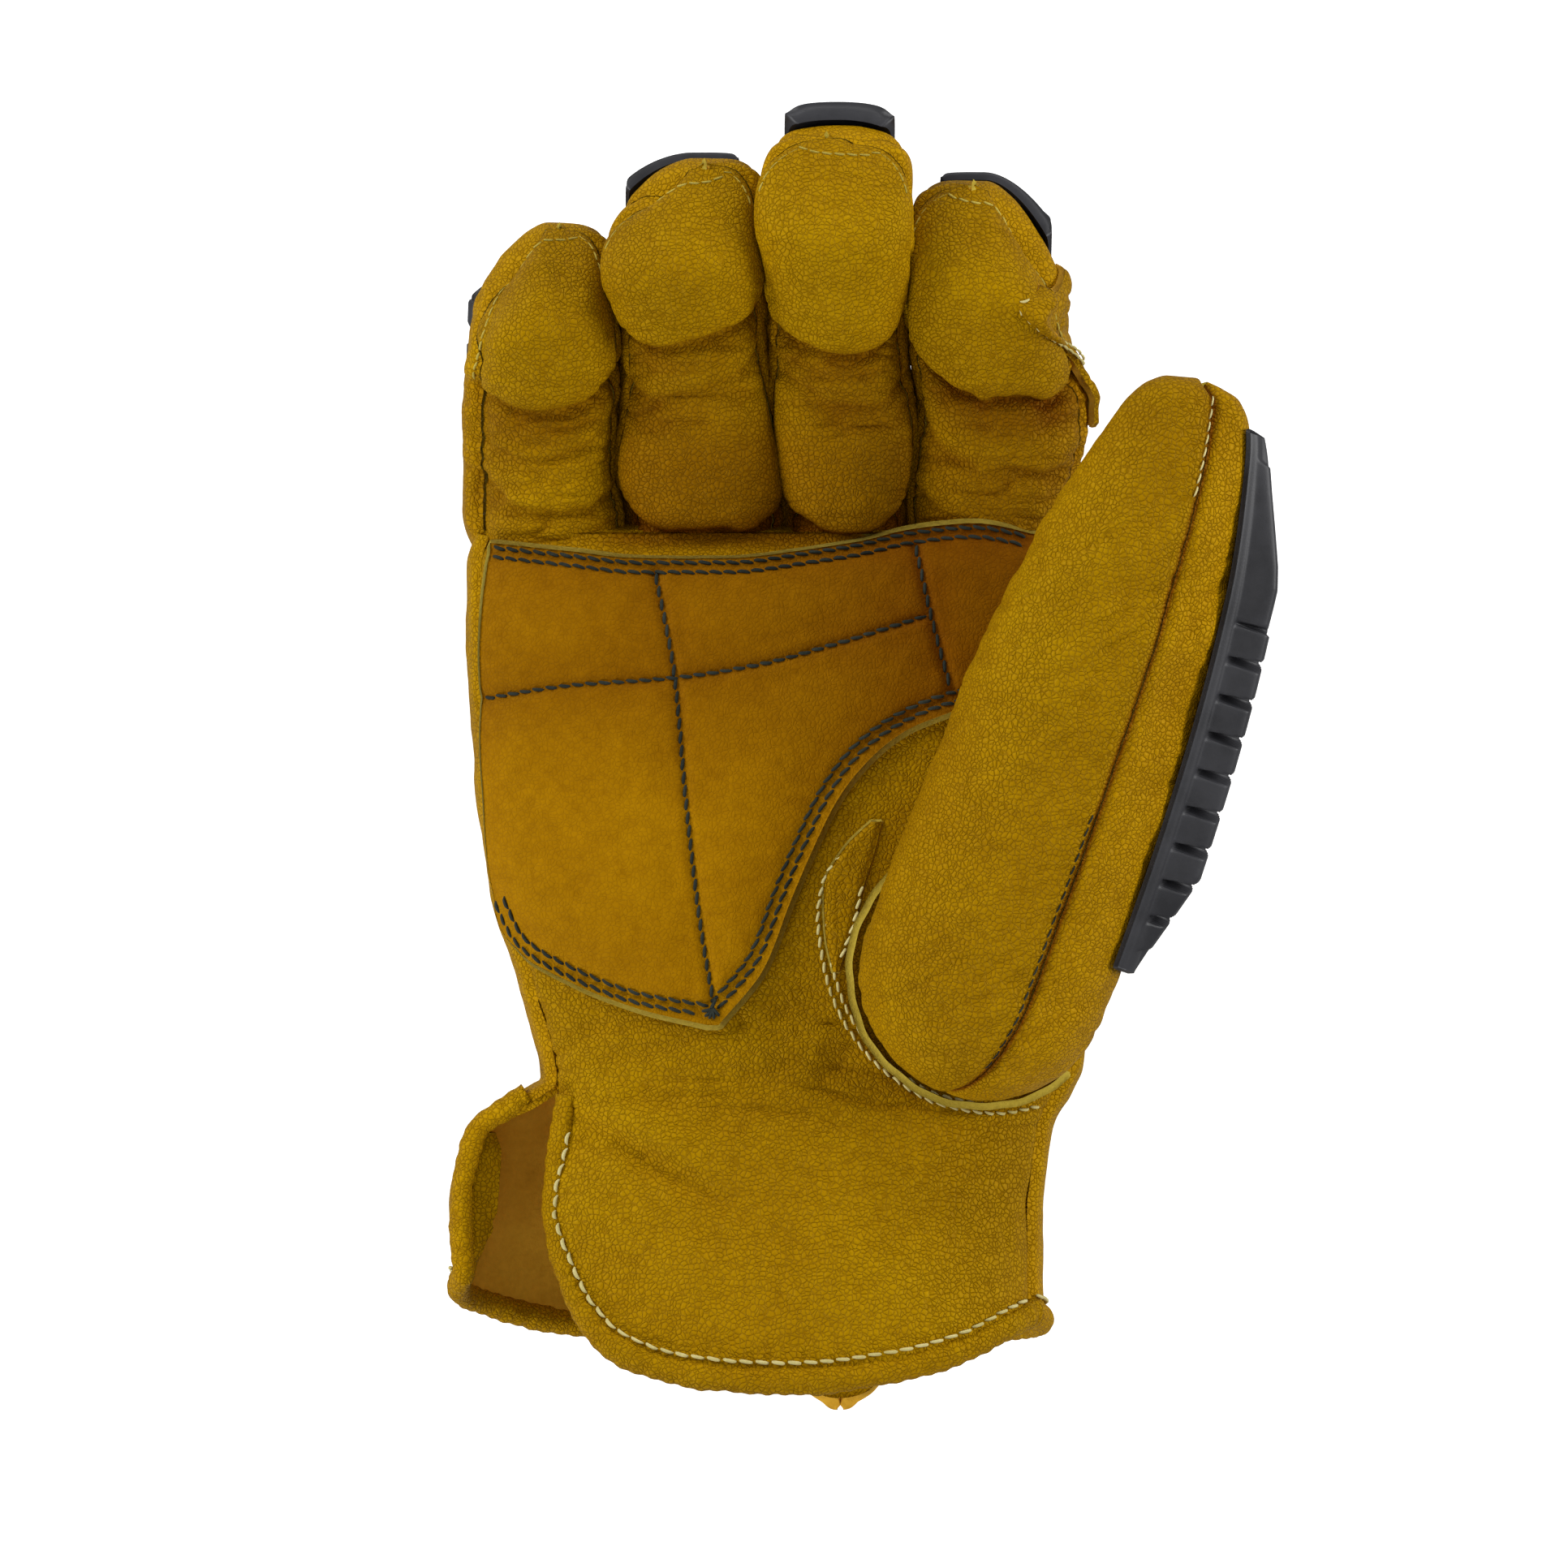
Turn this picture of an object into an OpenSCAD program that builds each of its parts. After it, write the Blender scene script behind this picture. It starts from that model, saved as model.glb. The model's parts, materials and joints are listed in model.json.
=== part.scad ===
// Leather work glove for the right hand, with moulded rubber impact guards.
// It lies on its back: +Y runs to the fingertips, +X to the thumb and +Z out of the palm.

/* [Leather] */
// Thickness of the leather
leather = 1.3; // [1.0:0.1:1.5]
// Gap left between two neighbouring pieces
gap = 0.25; // [0.2:0.05:0.4]
// Gap under a piece that is sewn on top of another
sewn_gap = 0.8; // [0.7:0.05:1.0]
// Width of the rolled binding round the cuff
binding_w = 7; // [5:0.5:9]

/* [Fingers] */
// Depth of a finger from its pad to its back
finger_d = 26.4; // [24:0.2:26.8]
// Length of the rounded end of a finger
tip_len = 13; // [11:0.5:15]

/* [Thumb] */
// Width of the thumb at its root
thumb_w = 45.2; // [42:0.2:46]
// Depth of the thumb at its root
thumb_d = 32; // [28:0.5:33]
// Angle between the thumb and the fingers, seen from above
thumb_lean = 19.9; // [17:0.1:23]

/* [Impact guards] */
// Thickness of a guard's flange
flange = 1.8; // [1.4:0.1:2.2]
// Height of the ribs above the flange
rib_h = 3.6; // [2.5:0.1:4.5]

/* [Thread] */
// Width of a line of stitches
thread_w = 0.9; // [0.6:0.1:1.2]

/* [Hidden] */

// Moves the whole glove so that the origin is under the centre of its box.
shift = [0.43, -0.33, 0];

gold = [0.80, 0.55, 0.07];
suede = [0.62, 0.36, 0.10];
rubber = [0.13, 0.13, 0.15];
black_thread = [0.07, 0.08, 0.07];
cream_thread = [0.80, 0.76, 0.52];

// ---- Small helpers ----

function mix(a, b, t) = a + (b - a) * t;
function steps(n) = [for (i = [0:n]) i / n];
function spow(v, e) = sign(v) * pow(abs(v), e);
// 0 outside the stretch from a to b, 1 inside it, with ramps as wide as w
function plateau(v, a, b, w) = max(0, min(1, (v - a) / w, (b - v) / w));

// A closed solid between two surfaces over one grid: outer(s, t) and inner(s, t).
module slab(outer, inner, ss, ts) {
    rows = len(ss);
    cols = len(ts);
    n = rows * cols;
    top = [for (s = ss) for (t = ts) outer(s, t)];
    bottom = [for (s = ss) for (t = ts) inner(s, t)];
    skin = [for (i = [0:rows - 2]) for (j = [0:cols - 2]) let (a = i * cols + j, b = a + cols)
        each [[a, b, a + 1], [b, b + 1, a + 1]]];
    underside = [for (f = skin) [f[0] + n, f[2] + n, f[1] + n]];
    rim = concat(
        [for (j = [0:cols - 1]) j],
        [for (i = [1:rows - 1]) i * cols + cols - 1],
        [for (j = [cols - 2:-1:0]) (rows - 1) * cols + j],
        [for (i = [rows - 2:-1:1]) i * cols]);
    m = len(rim);
    sides = [for (i = [0:m - 1]) let (a = rim[i], b = rim[(i + 1) % m])
        each [[a, b, b + n], [a, b + n, a + n]]];
    polyhedron(concat(top, bottom), concat(skin, underside, sides), convexity = 8);
}

// ---- Trunk: the palm, the back and the cuff are one barrel-shaped surface ----

// y, centre x, half width, centre z, half height, roundness of the corners
trunk = [
    [-114, -13.0, 47.5, 28.5, 27.5, 2.4],
    [-100, -13.2, 47.2, 28.0, 26.8, 2.4],
    [-80, -13.5, 47.0, 27.0, 23.0, 2.5],
    [-66, -12.0, 47.0, 26.5, 20.5, 2.6],
    [-54, -8.5, 49.2, 26.3, 19.6, 2.7],
    [-40, -9.5, 52.0, 26.4, 19.9, 2.8],
    [-20, -13.0, 54.0, 26.6, 20.4, 3.0],
    [0, -15.3, 54.2, 26.6, 20.4, 3.2],
    [20, -16.0, 54.4, 26.4, 19.6, 3.6],
    [38, -16.1, 54.2, 28.0, 15.5, 4.0]
];
mouth_y = 38;
side_seam_r = 20;    // where the back panel meets the palm panel, on the thumb side
side_seam_l = 158;   // and on the little finger side
vent_top_y = -60;    // the cuff is open on the little finger side below here
vent_flare = [[-114, 10], [-80, 12], [-66, 10], [-57, 0]];

function trunk_at(y, c) = lookup(y, [for (r = trunk) [r[0], r[c]]]);

// A point on the trunk at y and the angle a round it, k inside the outer surface.
// flare pushes the little finger side of the back cuff outwards.
function trunk_point(y, a, k, flare = 0) =
    let (e = 2 / trunk_at(y, 5), c = cos(a))
    [trunk_at(y, 1) + (trunk_at(y, 2) - k) * spow(c, e) + (c < 0 ? flare * lookup(y, vent_flare) * c : 0),
     y,
     trunk_at(y, 3) + (trunk_at(y, 4) - k) * spow(sin(a), e)];

// The angle round the trunk that has this x.
function trunk_angle(y, x) =
    let (q = max(-1, min(1, (x - trunk_at(y, 1)) / trunk_at(y, 2))))
    acos(spow(q, trunk_at(y, 5) / 2));

// A point on the palm side above x and y, k inside the surface.
function palm_point(x, y, k) = trunk_point(y, trunk_angle(y, x), k);

// The hem's y, front and back: each cuff panel is stretched to end there.
function front_hem(a) = lookup(a, [[20, -103], [50, -107], [90, -112], [125, -108], [145, -100], [158, -92]]);
function back_hem(a) = lookup(a, [[158, -95], [200, -98], [270, -107.5], [330, -105], [380, -103]]);
function to_hem(y, hem) = y > vent_top_y ? y : vent_top_y + (y - vent_top_y) * (hem - vent_top_y) / (-114 - vent_top_y);

cuff_rows = [-114, -106, -97, -88, -79, -71, -62];

// ---- Thumb hole: round the thumb's root, then along its edge ----

thumb_root = [22.4, -37, 52];
thumb_r = thumb_w / 2;
hole_r = thumb_r + 3;

// The palm panel's edge on the thumb side, as x at a height y.
function hole_x(y) =
    y > 1 || y < thumb_root[1] - hole_r ? 999
    : y > thumb_root[1] ? lookup(y, [[thumb_root[1], thumb_root[0] - hole_r], [-20, 1.5], [-14, 4.5], [-4, 14], [1, 24]])
    : thumb_root[0] - sqrt(pow(hole_r, 2) - pow(y - thumb_root[1], 2));

function palm_from(y) = max(side_seam_r + 0.5, hole_x(y) > 900 ? 0 : trunk_angle(y, hole_x(y)));
function palm_to(y) = y < vent_top_y - 1 ? side_seam_l - 8.5 : side_seam_l - 0.5;

module palm_panel() {
    rows = concat(
        [for (y = cuff_rows) y],
        [-61.7, -60, -57, -53, -48, -42, -37, -29, -20, -14, -9, -4, 1, 1.2, 12, 20, 28, mouth_y - 3]);
    shape = function (y, t, k)
        let (a = mix(palm_from(y), palm_to(y), t))
        trunk_point(to_hem(y, front_hem(a) + binding_w + gap), a, k);
    color(gold) slab(
        function (y, t) shape(y, t, 0),
        function (y, t) shape(y, t, leather),
        rows, steps(14));
}

module back_panel() {
    rows = concat(cuff_rows, [-57, -50, -40, -30, -20, -5, 10, 20, 28, mouth_y]);
    shape = function (y, t, k)
        let (from = y < vent_top_y ? side_seam_l + 8 : side_seam_l + 0.3,
            a = mix(from, 360 + side_seam_r - 0.3, t))
        trunk_point(to_hem(y, back_hem(a) + binding_w + gap), a, k, 1);
    color(gold) slab(
        function (y, t) shape(y, t, 0),
        function (y, t) shape(y, t, leather),
        rows, steps(20));
}

// ---- Palm patch, sewn on over the palm panel ----

patch_top_y = 34.5;
patch_left = [[-43, -30], [-40, -44], [-34, -56], [-26, -63.6], [-10, -66], [10, -67], [patch_top_y, -66]];
patch_right = [[-43, -24], [-36, -19.5], [-25, -13.5], [-12, -7], [-2, 1], [5, 12], [9, 20], [20, 24], [patch_top_y, 27]];

module palm_patch() {
    rows = [-43, -40, -36, -30, -25, -18, -10, 0, 5, 9, 15, 20, 28, patch_top_y];
    shape = function (y, t, k) palm_point(mix(lookup(y, patch_right), lookup(y, patch_left), t), y, k);
    color(gold) slab(
        function (y, t) shape(y, t, -sewn_gap - leather),
        function (y, t) shape(y, t, -sewn_gap),
        rows, steps(12));
}

// ---- The small leaf of leather between the patch and the thumb ----

module thumb_gusset() {
    rows = [-40, -34, -28, -22, -16, -11];
    left = [[-40, -6.5], [-28, -7], [-16, -3], [-11, 0.6]];
    right = [[-40, -5], [-28, -2.5], [-16, 0], [-11, 3]];
    shape = function (y, t, k) palm_point(mix(lookup(y, right), lookup(y, left), t), y, k);
    color(gold) slab(
        function (y, t) shape(y, t, -gap - leather),
        function (y, t) shape(y, t, -gap),
        rows, steps(3));
}

// ---- Welt: the raw-edged strip sewn in round the thumb's root ----

welt_w = 1.4;
welt_from = 152;
welt_to = 302;

module thumb_welt() {
    color(gold) translate([thumb_root[0], thumb_root[1], 0]) rotate([0, 0, welt_from])
        rotate_extrude(angle = welt_to - welt_from, $fn = 64)
            translate([thumb_r + 0.45, 43.4]) square([welt_w, 5.4]);
}

// ---- Cuff bindings ----

module hem_strip(hem, from, to, flare, count) {
    shape = function (s, t, k)
        let (a = mix(from, to, t))
        trunk_point(hem(a) + binding_w * s, a, k, flare);
    slab(
        function (s, t) shape(s, t, -0.9),
        function (s, t) shape(s, t, leather + 0.9),
        steps(2), steps(count));
}

module vent_strip(hem, from, to, flare) {
    shape = function (y, t, k)
        let (a = mix(from, to, t))
        trunk_point(to_hem(y, hem(a) + binding_w + gap), a, k, flare);
    slab(
        function (y, t) shape(y, t, -0.9),
        function (y, t) shape(y, t, leather + 0.9),
        [-114, -97, -79, -62], steps(1));
}

module front_cuff_binding() {
    color(gold) {
        hem_strip(function (a) front_hem(a), side_seam_r + 0.5, side_seam_l - 0.5, 0, 14);
        vent_strip(function (a) front_hem(a), side_seam_l - 8, side_seam_l - 0.5, 0);
    }
}

module back_cuff_binding() {
    color(gold) {
        hem_strip(function (a) back_hem(a), side_seam_l + 0.3, 360 + side_seam_r - 0.3, 1, 20);
        vent_strip(function (a) back_hem(a), side_seam_l + 0.3, side_seam_l + 7.5, 1);
    }
}

// ---- Elastic that gathers the back of the wrist, on the inside ----

module wrist_elastic() {
    shape = function (y, t, k) trunk_point(y, mix(220, 320, t), k);
    color([0.85, 0.80, 0.66]) slab(
        function (y, t) shape(y, t, leather + gap),
        function (y, t) shape(y, t, leather + gap + 1.1),
        [-57, -53.5, -50], steps(8));
}

// ---- Knuckle guard, with flat pads that the glove lies on ----

pad_rows = [[-24, -11], [-8, 4], [7, 19]];
pad_cols = [[-52, -35], [-32, -16], [-13, 4], [7, 23]];
draft = 1.2;

function on_pad(x, y) = max([for (r = pad_rows) for (c = pad_cols)
    min(plateau(x, c[0], c[1], draft), plateau(y, r[0], r[1], draft))]);

module knuckle_guard() {
    edges = function (spans) [for (s = spans) each [s[0], s[0] + draft, s[1] - draft, s[1]]];
    rows = concat([-27], edges(pad_rows), [22]);
    cols = concat([-55], edges(pad_cols), [26]);
    back_z = function (x, y, k) 2 * trunk_at(y, 3) - palm_point(x, y, k)[2];
    color(rubber) slab(
        function (y, x) [x, y, mix(back_z(x, y, -sewn_gap - flange), 0, on_pad(x, y))],
        function (y, x) [x, y, back_z(x, y, -sewn_gap)],
        rows, [for (i = [len(cols) - 1:-1:0]) cols[i]]);
}

// ---- Thread: lines of stitches that lie on the leather ----

// A strip along points in x and y, as high above the palm as k is below zero.
module stitch_line(path, k) {
    n = len(path);
    side = [for (i = [0:n - 1])
        let (d = path[min(n - 1, i + 1)] - path[max(0, i - 1)]) [d[1], -d[0]] / norm(d) * thread_w / 2];
    slab(
        function (i, t) let (q = path[i] + side[i] * t) palm_point(q[0], q[1], k - 0.5),
        function (i, t) let (q = path[i] + side[i] * t) palm_point(q[0], q[1], k),
        [for (i = [0:n - 1]) i], [1, -1]);
}

on_patch = -sewn_gap - leather - 1.3;

module patch_thread() {
    color(black_thread) {
        stitch_line([for (x = [-64:8:24]) [x, patch_top_y - 1.6]], on_patch);
        stitch_line([[-62, -25.5], [-55, -32], [-45, -37.5], [-35, -40.5], [-28, -41.2]], on_patch);
        stitch_line([[-25.4, -40], [-20.6, -33], [-15.5, -24], [-9.5, -12], [-2, -2.5], [8, 4], [17, 9]], on_patch);
        stitch_line([[-26.5, -38], [-28.5, -22], [-30.5, -4], [-33, 14.5]], on_patch);
        stitch_line([[-33.4, 16.5], [-35, 31]], on_patch);
        stitch_line([[-65, 12.2], [-50, 14.2], [-34.4, 15.4]], on_patch);
        stitch_line([[-31.6, 15.6], [-20, 17.6], [-5, 21.6], [11, 27]], on_patch);
    }
}

module thumb_thread() {
    // A row of stitches on each side of the leaf, then round the root of the thumb.
    round_root = [for (a = [200:10:292]) [thumb_root[0], thumb_root[1]] + (hole_r + 2.2) * [cos(a), sin(a)]];
    color(cream_thread) stitch_line(round_root, -0.3);
}

module cuff_thread() {
    path = [for (a = [24:9:150]) [a, front_hem(a) + binding_w + 2]];
    at = function (p, k) trunk_point(p[1], p[0], k);
    color(cream_thread) slab(
        function (i, t) at([path[i][0], path[i][1] + t * thread_w / 2], -0.8),
        function (i, t) at([path[i][0], path[i][1] + t * thread_w / 2], -0.3),
        [for (i = [len(path) - 1:-1:0]) i], [1, -1]);
}

// ---- Fingers ----

finger_r = finger_d / 2;
hinge_y = 41;
hinge_z = 28;
tail = 8;   // how far a finger's root reaches back into the trunk

// centre x, half width, length, angle above level at the root, angle at the tip
LITTLE = [-55.4, 11.8, 57, 4, 34.3];
RING = [-29.9, 13.3, 69, 5, 41.3];
MIDDLE = [-3.4, 12.6, 79, 5, 47.5];
INDEX = [22.9, 13.1, 65, 4, 39.6];

function swell(f, s) =
    s < 0 ? sqrt(1 - pow(s / finger_r, 2))
    : s < f[2] - tip_len ? mix(1, 0.93, s / f[2])
    : mix(1, 0.93, s / f[2]) * sqrt(max(0, 1 - pow((s - f[2] + tip_len) / tip_len, 2)));

// A point on finger f, s along it and at the angle a round it, k inside the surface.
// The finger curls at an even rate, so its middle line is an arc.
function finger_point(f, s, a, k) =
    let (bend = (f[4] - f[3]) / f[2],
        lift = f[3] + bend * max(0, s),
        r = f[2] / ((f[4] - f[3]) * PI / 180),
        y = s < 0 ? s * cos(f[3]) : r * (sin(lift) - sin(f[3])),
        z = s < 0 ? s * sin(f[3]) : r * (cos(f[3]) - cos(lift)),
        w = swell(f, s),
        u = max(0.25, f[1] * w - k) * cos(a),
        v = max(0.25, finger_r * w - k) * sin(a))
    [f[0] + u, hinge_y + y - v * sin(lift), hinge_z + z + v * cos(lift)];

function finger_rows(f) =
    let (round_from = f[2] - tip_len)
    concat([-tail, -tail / 2],
        [for (i = [0:6]) round_from * i / 6],
        [for (q = [22, 42, 58, 72, 82]) round_from + tip_len * sin(q)]);

module finger_strip(f, from, to, count) {
    color(gold) slab(
        function (s, t) finger_point(f, s, mix(from, to, t), 0),
        function (s, t) finger_point(f, s, mix(from, to, t), leather),
        finger_rows(f), steps(count));
}

// Where the front, the gussets and the back of a finger meet, as angles round it.
front_from = 25.6;
front_to = 154.4;
gusset_l = [156, 204.4];
gusset_r = [335.6, 384];

module finger_front(f) { finger_strip(f, front_from, front_to, 8); }
module finger_gusset(f, span) { finger_strip(f, span[0], span[1], 3); }

// A guard on the back of a finger: a flange with three bevelled blocks on it.
module finger_guard(f) {
    from = 0.26 * f[2];
    to = f[2] - 4.5;
    pitch = (to - from - 3) / 3;
    ends = [for (i = [0:2]) [from + 1.8 + pitch * i, from + 1.8 + pitch * (i + 1) - 1.8]];
    rows = concat([from], [for (e = ends) each [e[0], e[0] + 1.4, e[1] - 1.4, e[1]]], [to]);
    cols = [232, 240, 246, 258, 282, 294, 300, 308];
    height = function (s, a)
        flange + rib_h * max([for (e = ends) plateau(s, e[0], e[1], 1.4)]) * plateau(a, 240, 300, 10);
    color(rubber) slab(
        function (s, a) finger_point(f, s, a, -sewn_gap - height(s, a)),
        function (s, a) finger_point(f, s, a, -sewn_gap),
        rows, cols);
}

module little_finger_front() { finger_front(LITTLE); }
module little_finger_back() { finger_strip(LITTLE, gusset_l[0], gusset_r[0] - 1.4, 12); }
module little_finger_gusset() { finger_gusset(LITTLE, gusset_r); }
module little_finger_guard() { finger_guard(LITTLE); }

module ring_finger_front() { finger_front(RING); }
module ring_finger_back() { finger_strip(RING, gusset_l[1] + 1.4, gusset_r[0] - 1.4, 8); }
module ring_finger_gussets() {
    finger_gusset(RING, gusset_l);
    finger_gusset(RING, gusset_r);
}
module ring_finger_guard() { finger_guard(RING); }

module middle_finger_front() { finger_front(MIDDLE); }
module middle_finger_back() { finger_strip(MIDDLE, gusset_l[1] + 1.4, gusset_r[0] - 1.4, 8); }
module middle_finger_gussets() {
    finger_gusset(MIDDLE, gusset_l);
    finger_gusset(MIDDLE, gusset_r);
}
module middle_finger_guard() { finger_guard(MIDDLE); }

module index_finger_front() { finger_front(INDEX); }
module index_finger_back() { finger_strip(INDEX, gusset_l[1] + 1.4, gusset_r[1], 12); }
module index_finger_gusset() { finger_gusset(INDEX, gusset_l); }
module index_finger_guard() { finger_guard(INDEX); }

// The raw-edged strip sewn to the thumb side of the index finger.
module index_reinforcement() {
    rows = [for (i = [0:6]) mix(20, INDEX[2] - 6, i / 6)];
    color(suede) slab(
        function (s, t) finger_point(INDEX, s, mix(-18, 22, t), -sewn_gap - leather),
        function (s, t) finger_point(INDEX, s, mix(-18, 22, t), -sewn_gap),
        rows, steps(4));
}

// ---- Thumb ----

thumb_len = 113;
thumb_rise = 9.2;
thumb_seam_top = 66;
thumb_seam_under = 250;

// How wide and deep the thumb is along its length, as a share of its root.
thumb_wide = [[0, 1], [0.2, 0.99], [0.4, 0.94], [0.68, 0.78], [0.87, 0.53], [0.95, 0.36], [0.985, 0.22], [1, 0.06]];
thumb_deep = [[0, 1], [0.4, 1], [0.68, 0.84], [0.87, 0.6], [0.95, 0.43], [0.985, 0.26], [1, 0.08]];

// A point on the thumb, s along it and at the angle a round it. Its root is round, and turns in the thumb hole.
function thumb_point(s, a, k) =
    let (q = max(0, s / thumb_len),
        w = s < 0 ? sqrt(max(0, 1 - pow(s / thumb_r, 2))) : 1,
        u = max(0.3, thumb_r * w * lookup(q, thumb_wide) - k) * cos(a),
        v = max(0.3, thumb_d / 2 * w * lookup(q, thumb_deep) - k) * sin(a),
        along = s * (s < 0 ? 1 : cos(thumb_rise)),
        up = s < 0 ? 0 : s * sin(thumb_rise))
    thumb_root + [
        along * sin(thumb_lean) + u * cos(thumb_lean),
        along * cos(thumb_lean) - u * sin(thumb_lean),
        up + v];

thumb_rows = concat(
    [for (q = [84, 70, 54, 36, 18]) -thumb_r * sin(q)],
    [for (q = [0, 0.1, 0.2, 0.3, 0.4, 0.5, 0.6, 0.68, 0.78, 0.87, 0.91, 0.95, 0.985, 0.998]) thumb_len * q]);

// The root is open underneath, where the wearer's thumb comes in.
function thumb_open(s, here, there) = mix(here, there, max(0, min(1, s / 25)));

module thumb_strip(low, high, count) {
    color(gold) slab(
        function (s, t) thumb_point(s, mix(low(s), high(s), t), 0),
        function (s, t) thumb_point(s, mix(low(s), high(s), t), leather),
        thumb_rows, steps(count));
}

module thumb_front() {
    thumb_strip(
        function (s) thumb_seam_top + 0.5,
        function (s) thumb_open(s, 196, thumb_seam_under - 0.5), 10);
}

module thumb_back() {
    thumb_strip(
        function (s) thumb_open(s, -16, thumb_seam_under - 359.5),
        function (s) thumb_seam_top - 0.5, 10);
}

// The thumb guard: a long flange, a bevelled block at the tip end, and ribs with slots between them.
guard_from = 15;
guard_to = 107;
rib_pitch = 6.6;
rib_count = 9;

module thumb_guard() {
    ribs = [for (i = [0:rib_count - 1]) [guard_from + 3 + rib_pitch * i, guard_from + 3 + rib_pitch * (i + 1) - 1.7]];
    blocks = concat(ribs, [[guard_from + 3 + rib_pitch * rib_count, guard_to - 4]]);
    rows = concat([guard_from], [for (b = blocks) each [b[0], b[0] + 0.5, b[1] - 0.5, b[1]]], [guard_to]);
    cols = [-40, -31, -24, -4, 10, 17, 26];
    // The blocks are tallest in the middle of the guard, and slope away to its ends.
    swelling = function (s) min(1, (s - guard_from) / 22, (guard_to + 4 - s) / 26);
    height = function (s, a)
        flange + (rib_h + 1.6) * swelling(s) * max([for (b = blocks) plateau(s, b[0], b[1], 0.5)]) * plateau(a, -31, 17, 8);
    color(rubber) slab(
        function (s, a) thumb_point(s, a, -sewn_gap - height(s, a)),
        function (s, a) thumb_point(s, a, -sewn_gap),
        rows, cols);
}

// ---- Pull tab at the back of the cuff ----

tab_r = 8.7;
tab_t = 2.4;
tab_tip_y = -115.9;
tab_top_y = -109;
tab_z = 1.4;

module pull_tab() {
    color(gold) translate([-3, 0, tab_z]) intersection() {
        translate([0, tab_tip_y + tab_r, 0]) cylinder(r = tab_r, h = tab_t, $fn = 96);
        translate([-tab_r, tab_tip_y, 0]) cube([2 * tab_r, tab_top_y - tab_tip_y, tab_t]);
    }
}

translate(shift) {
    palm_panel();
    back_panel();
    palm_patch();
    thumb_gusset();
    thumb_welt();
    front_cuff_binding();
    back_cuff_binding();
    wrist_elastic();
    knuckle_guard();
    patch_thread();
    thumb_thread();
    cuff_thread();
    little_finger_front();
    little_finger_back();
    little_finger_gusset();
    little_finger_guard();
    ring_finger_front();
    ring_finger_back();
    ring_finger_gussets();
    ring_finger_guard();
    middle_finger_front();
    middle_finger_back();
    middle_finger_gussets();
    middle_finger_guard();
    index_finger_front();
    index_finger_back();
    index_finger_gusset();
    index_finger_guard();
    index_reinforcement();
    thumb_front();
    thumb_back();
    thumb_guard();
    pull_tab();
}
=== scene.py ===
"""A right-hand leather work glove with moulded rubber impact guards, lying on its back.

+Y runs to the fingertips, +X to the thumb and +Z out of the palm. Shapes are worked out in
millimetres, in the CAD model's own frame, and turned into metres when a mesh is made.
"""
import itertools
import json
import math

import bpy
import numpy as np
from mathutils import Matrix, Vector


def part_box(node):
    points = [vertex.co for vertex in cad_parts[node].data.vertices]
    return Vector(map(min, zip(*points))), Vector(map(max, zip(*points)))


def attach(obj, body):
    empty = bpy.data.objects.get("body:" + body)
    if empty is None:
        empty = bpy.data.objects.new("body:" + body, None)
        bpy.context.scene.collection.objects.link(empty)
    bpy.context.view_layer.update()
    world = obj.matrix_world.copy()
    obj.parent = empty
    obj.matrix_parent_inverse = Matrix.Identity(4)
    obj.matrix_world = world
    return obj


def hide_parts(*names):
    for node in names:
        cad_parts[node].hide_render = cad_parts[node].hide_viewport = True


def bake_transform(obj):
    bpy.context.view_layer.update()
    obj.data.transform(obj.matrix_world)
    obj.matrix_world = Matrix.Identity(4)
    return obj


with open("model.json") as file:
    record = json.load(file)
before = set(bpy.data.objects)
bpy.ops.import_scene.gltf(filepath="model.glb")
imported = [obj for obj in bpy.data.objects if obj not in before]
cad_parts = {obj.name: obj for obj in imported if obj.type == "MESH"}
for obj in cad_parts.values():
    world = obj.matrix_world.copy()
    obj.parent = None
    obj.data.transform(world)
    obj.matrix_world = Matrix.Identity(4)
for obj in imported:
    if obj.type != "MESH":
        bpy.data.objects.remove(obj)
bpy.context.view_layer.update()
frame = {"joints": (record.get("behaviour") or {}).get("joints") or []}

MM = 0.001
JOINT = {j["name"]: np.array(j["pos_m"]) / MM for j in frame["joints"]}
THUMB_ROOT = JOINT["thumb_spread"]
# The numbers below put the thumb's root here, and SHIFT takes them all to the CAD model's frame.
THUMB_X, THUMB_Y = 22.4, -37
SHIFT = THUMB_ROOT - np.array([THUMB_X, THUMB_Y, 52])

LEATHER = 1.3
STEP = 0.55     # how far apart the points of a leather surface are
PITCH = 2.9     # from one stitch to the next


# ---- Numbers and curves ----

def curve(*points):
    """A smooth function through a few (x, y) points, which never overshoots them."""
    x, y = np.array(points, float).T
    h = np.diff(x)
    d = np.diff(y) / h
    m = np.concatenate([[d[0]], np.zeros(len(d) - 1), [d[-1]]])
    for i in range(1, len(d)):
        if d[i - 1] * d[i] > 0:
            a, b = 2 * h[i] + h[i - 1], h[i] + 2 * h[i - 1]
            m[i] = (a + b) / (a / d[i - 1] + b / d[i])

    def at(v):
        v = np.clip(v, x[0], x[-1])
        i = np.clip(np.searchsorted(x, v, side="right") - 1, 0, len(h) - 1)
        t = (v - x[i]) / h[i]
        ends = y[i] * (1 + 2 * t) * (1 - t) ** 2 + y[i + 1] * t * t * (3 - 2 * t)
        return ends + h[i] * (m[i] * t * (1 - t) ** 2 - m[i + 1] * t * t * (1 - t))
    return at


def spow(v, e):
    return np.sign(v) * np.abs(v) ** e


def bell(v, middle, width):
    return np.exp(-((v - middle) / width) ** 2)


def smooth(v, a, b):
    t = np.clip((v - a) / (b - a), 0, 1)
    return t * t * (3 - 2 * t)


def plateau(v, a, b, ramp):
    """1 from a to b, with smooth ramps just inside them."""
    return smooth(v, a, a + ramp) * (1 - smooth(v, b - ramp, b))


def rad(degrees):
    return np.radians(degrees)


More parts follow.
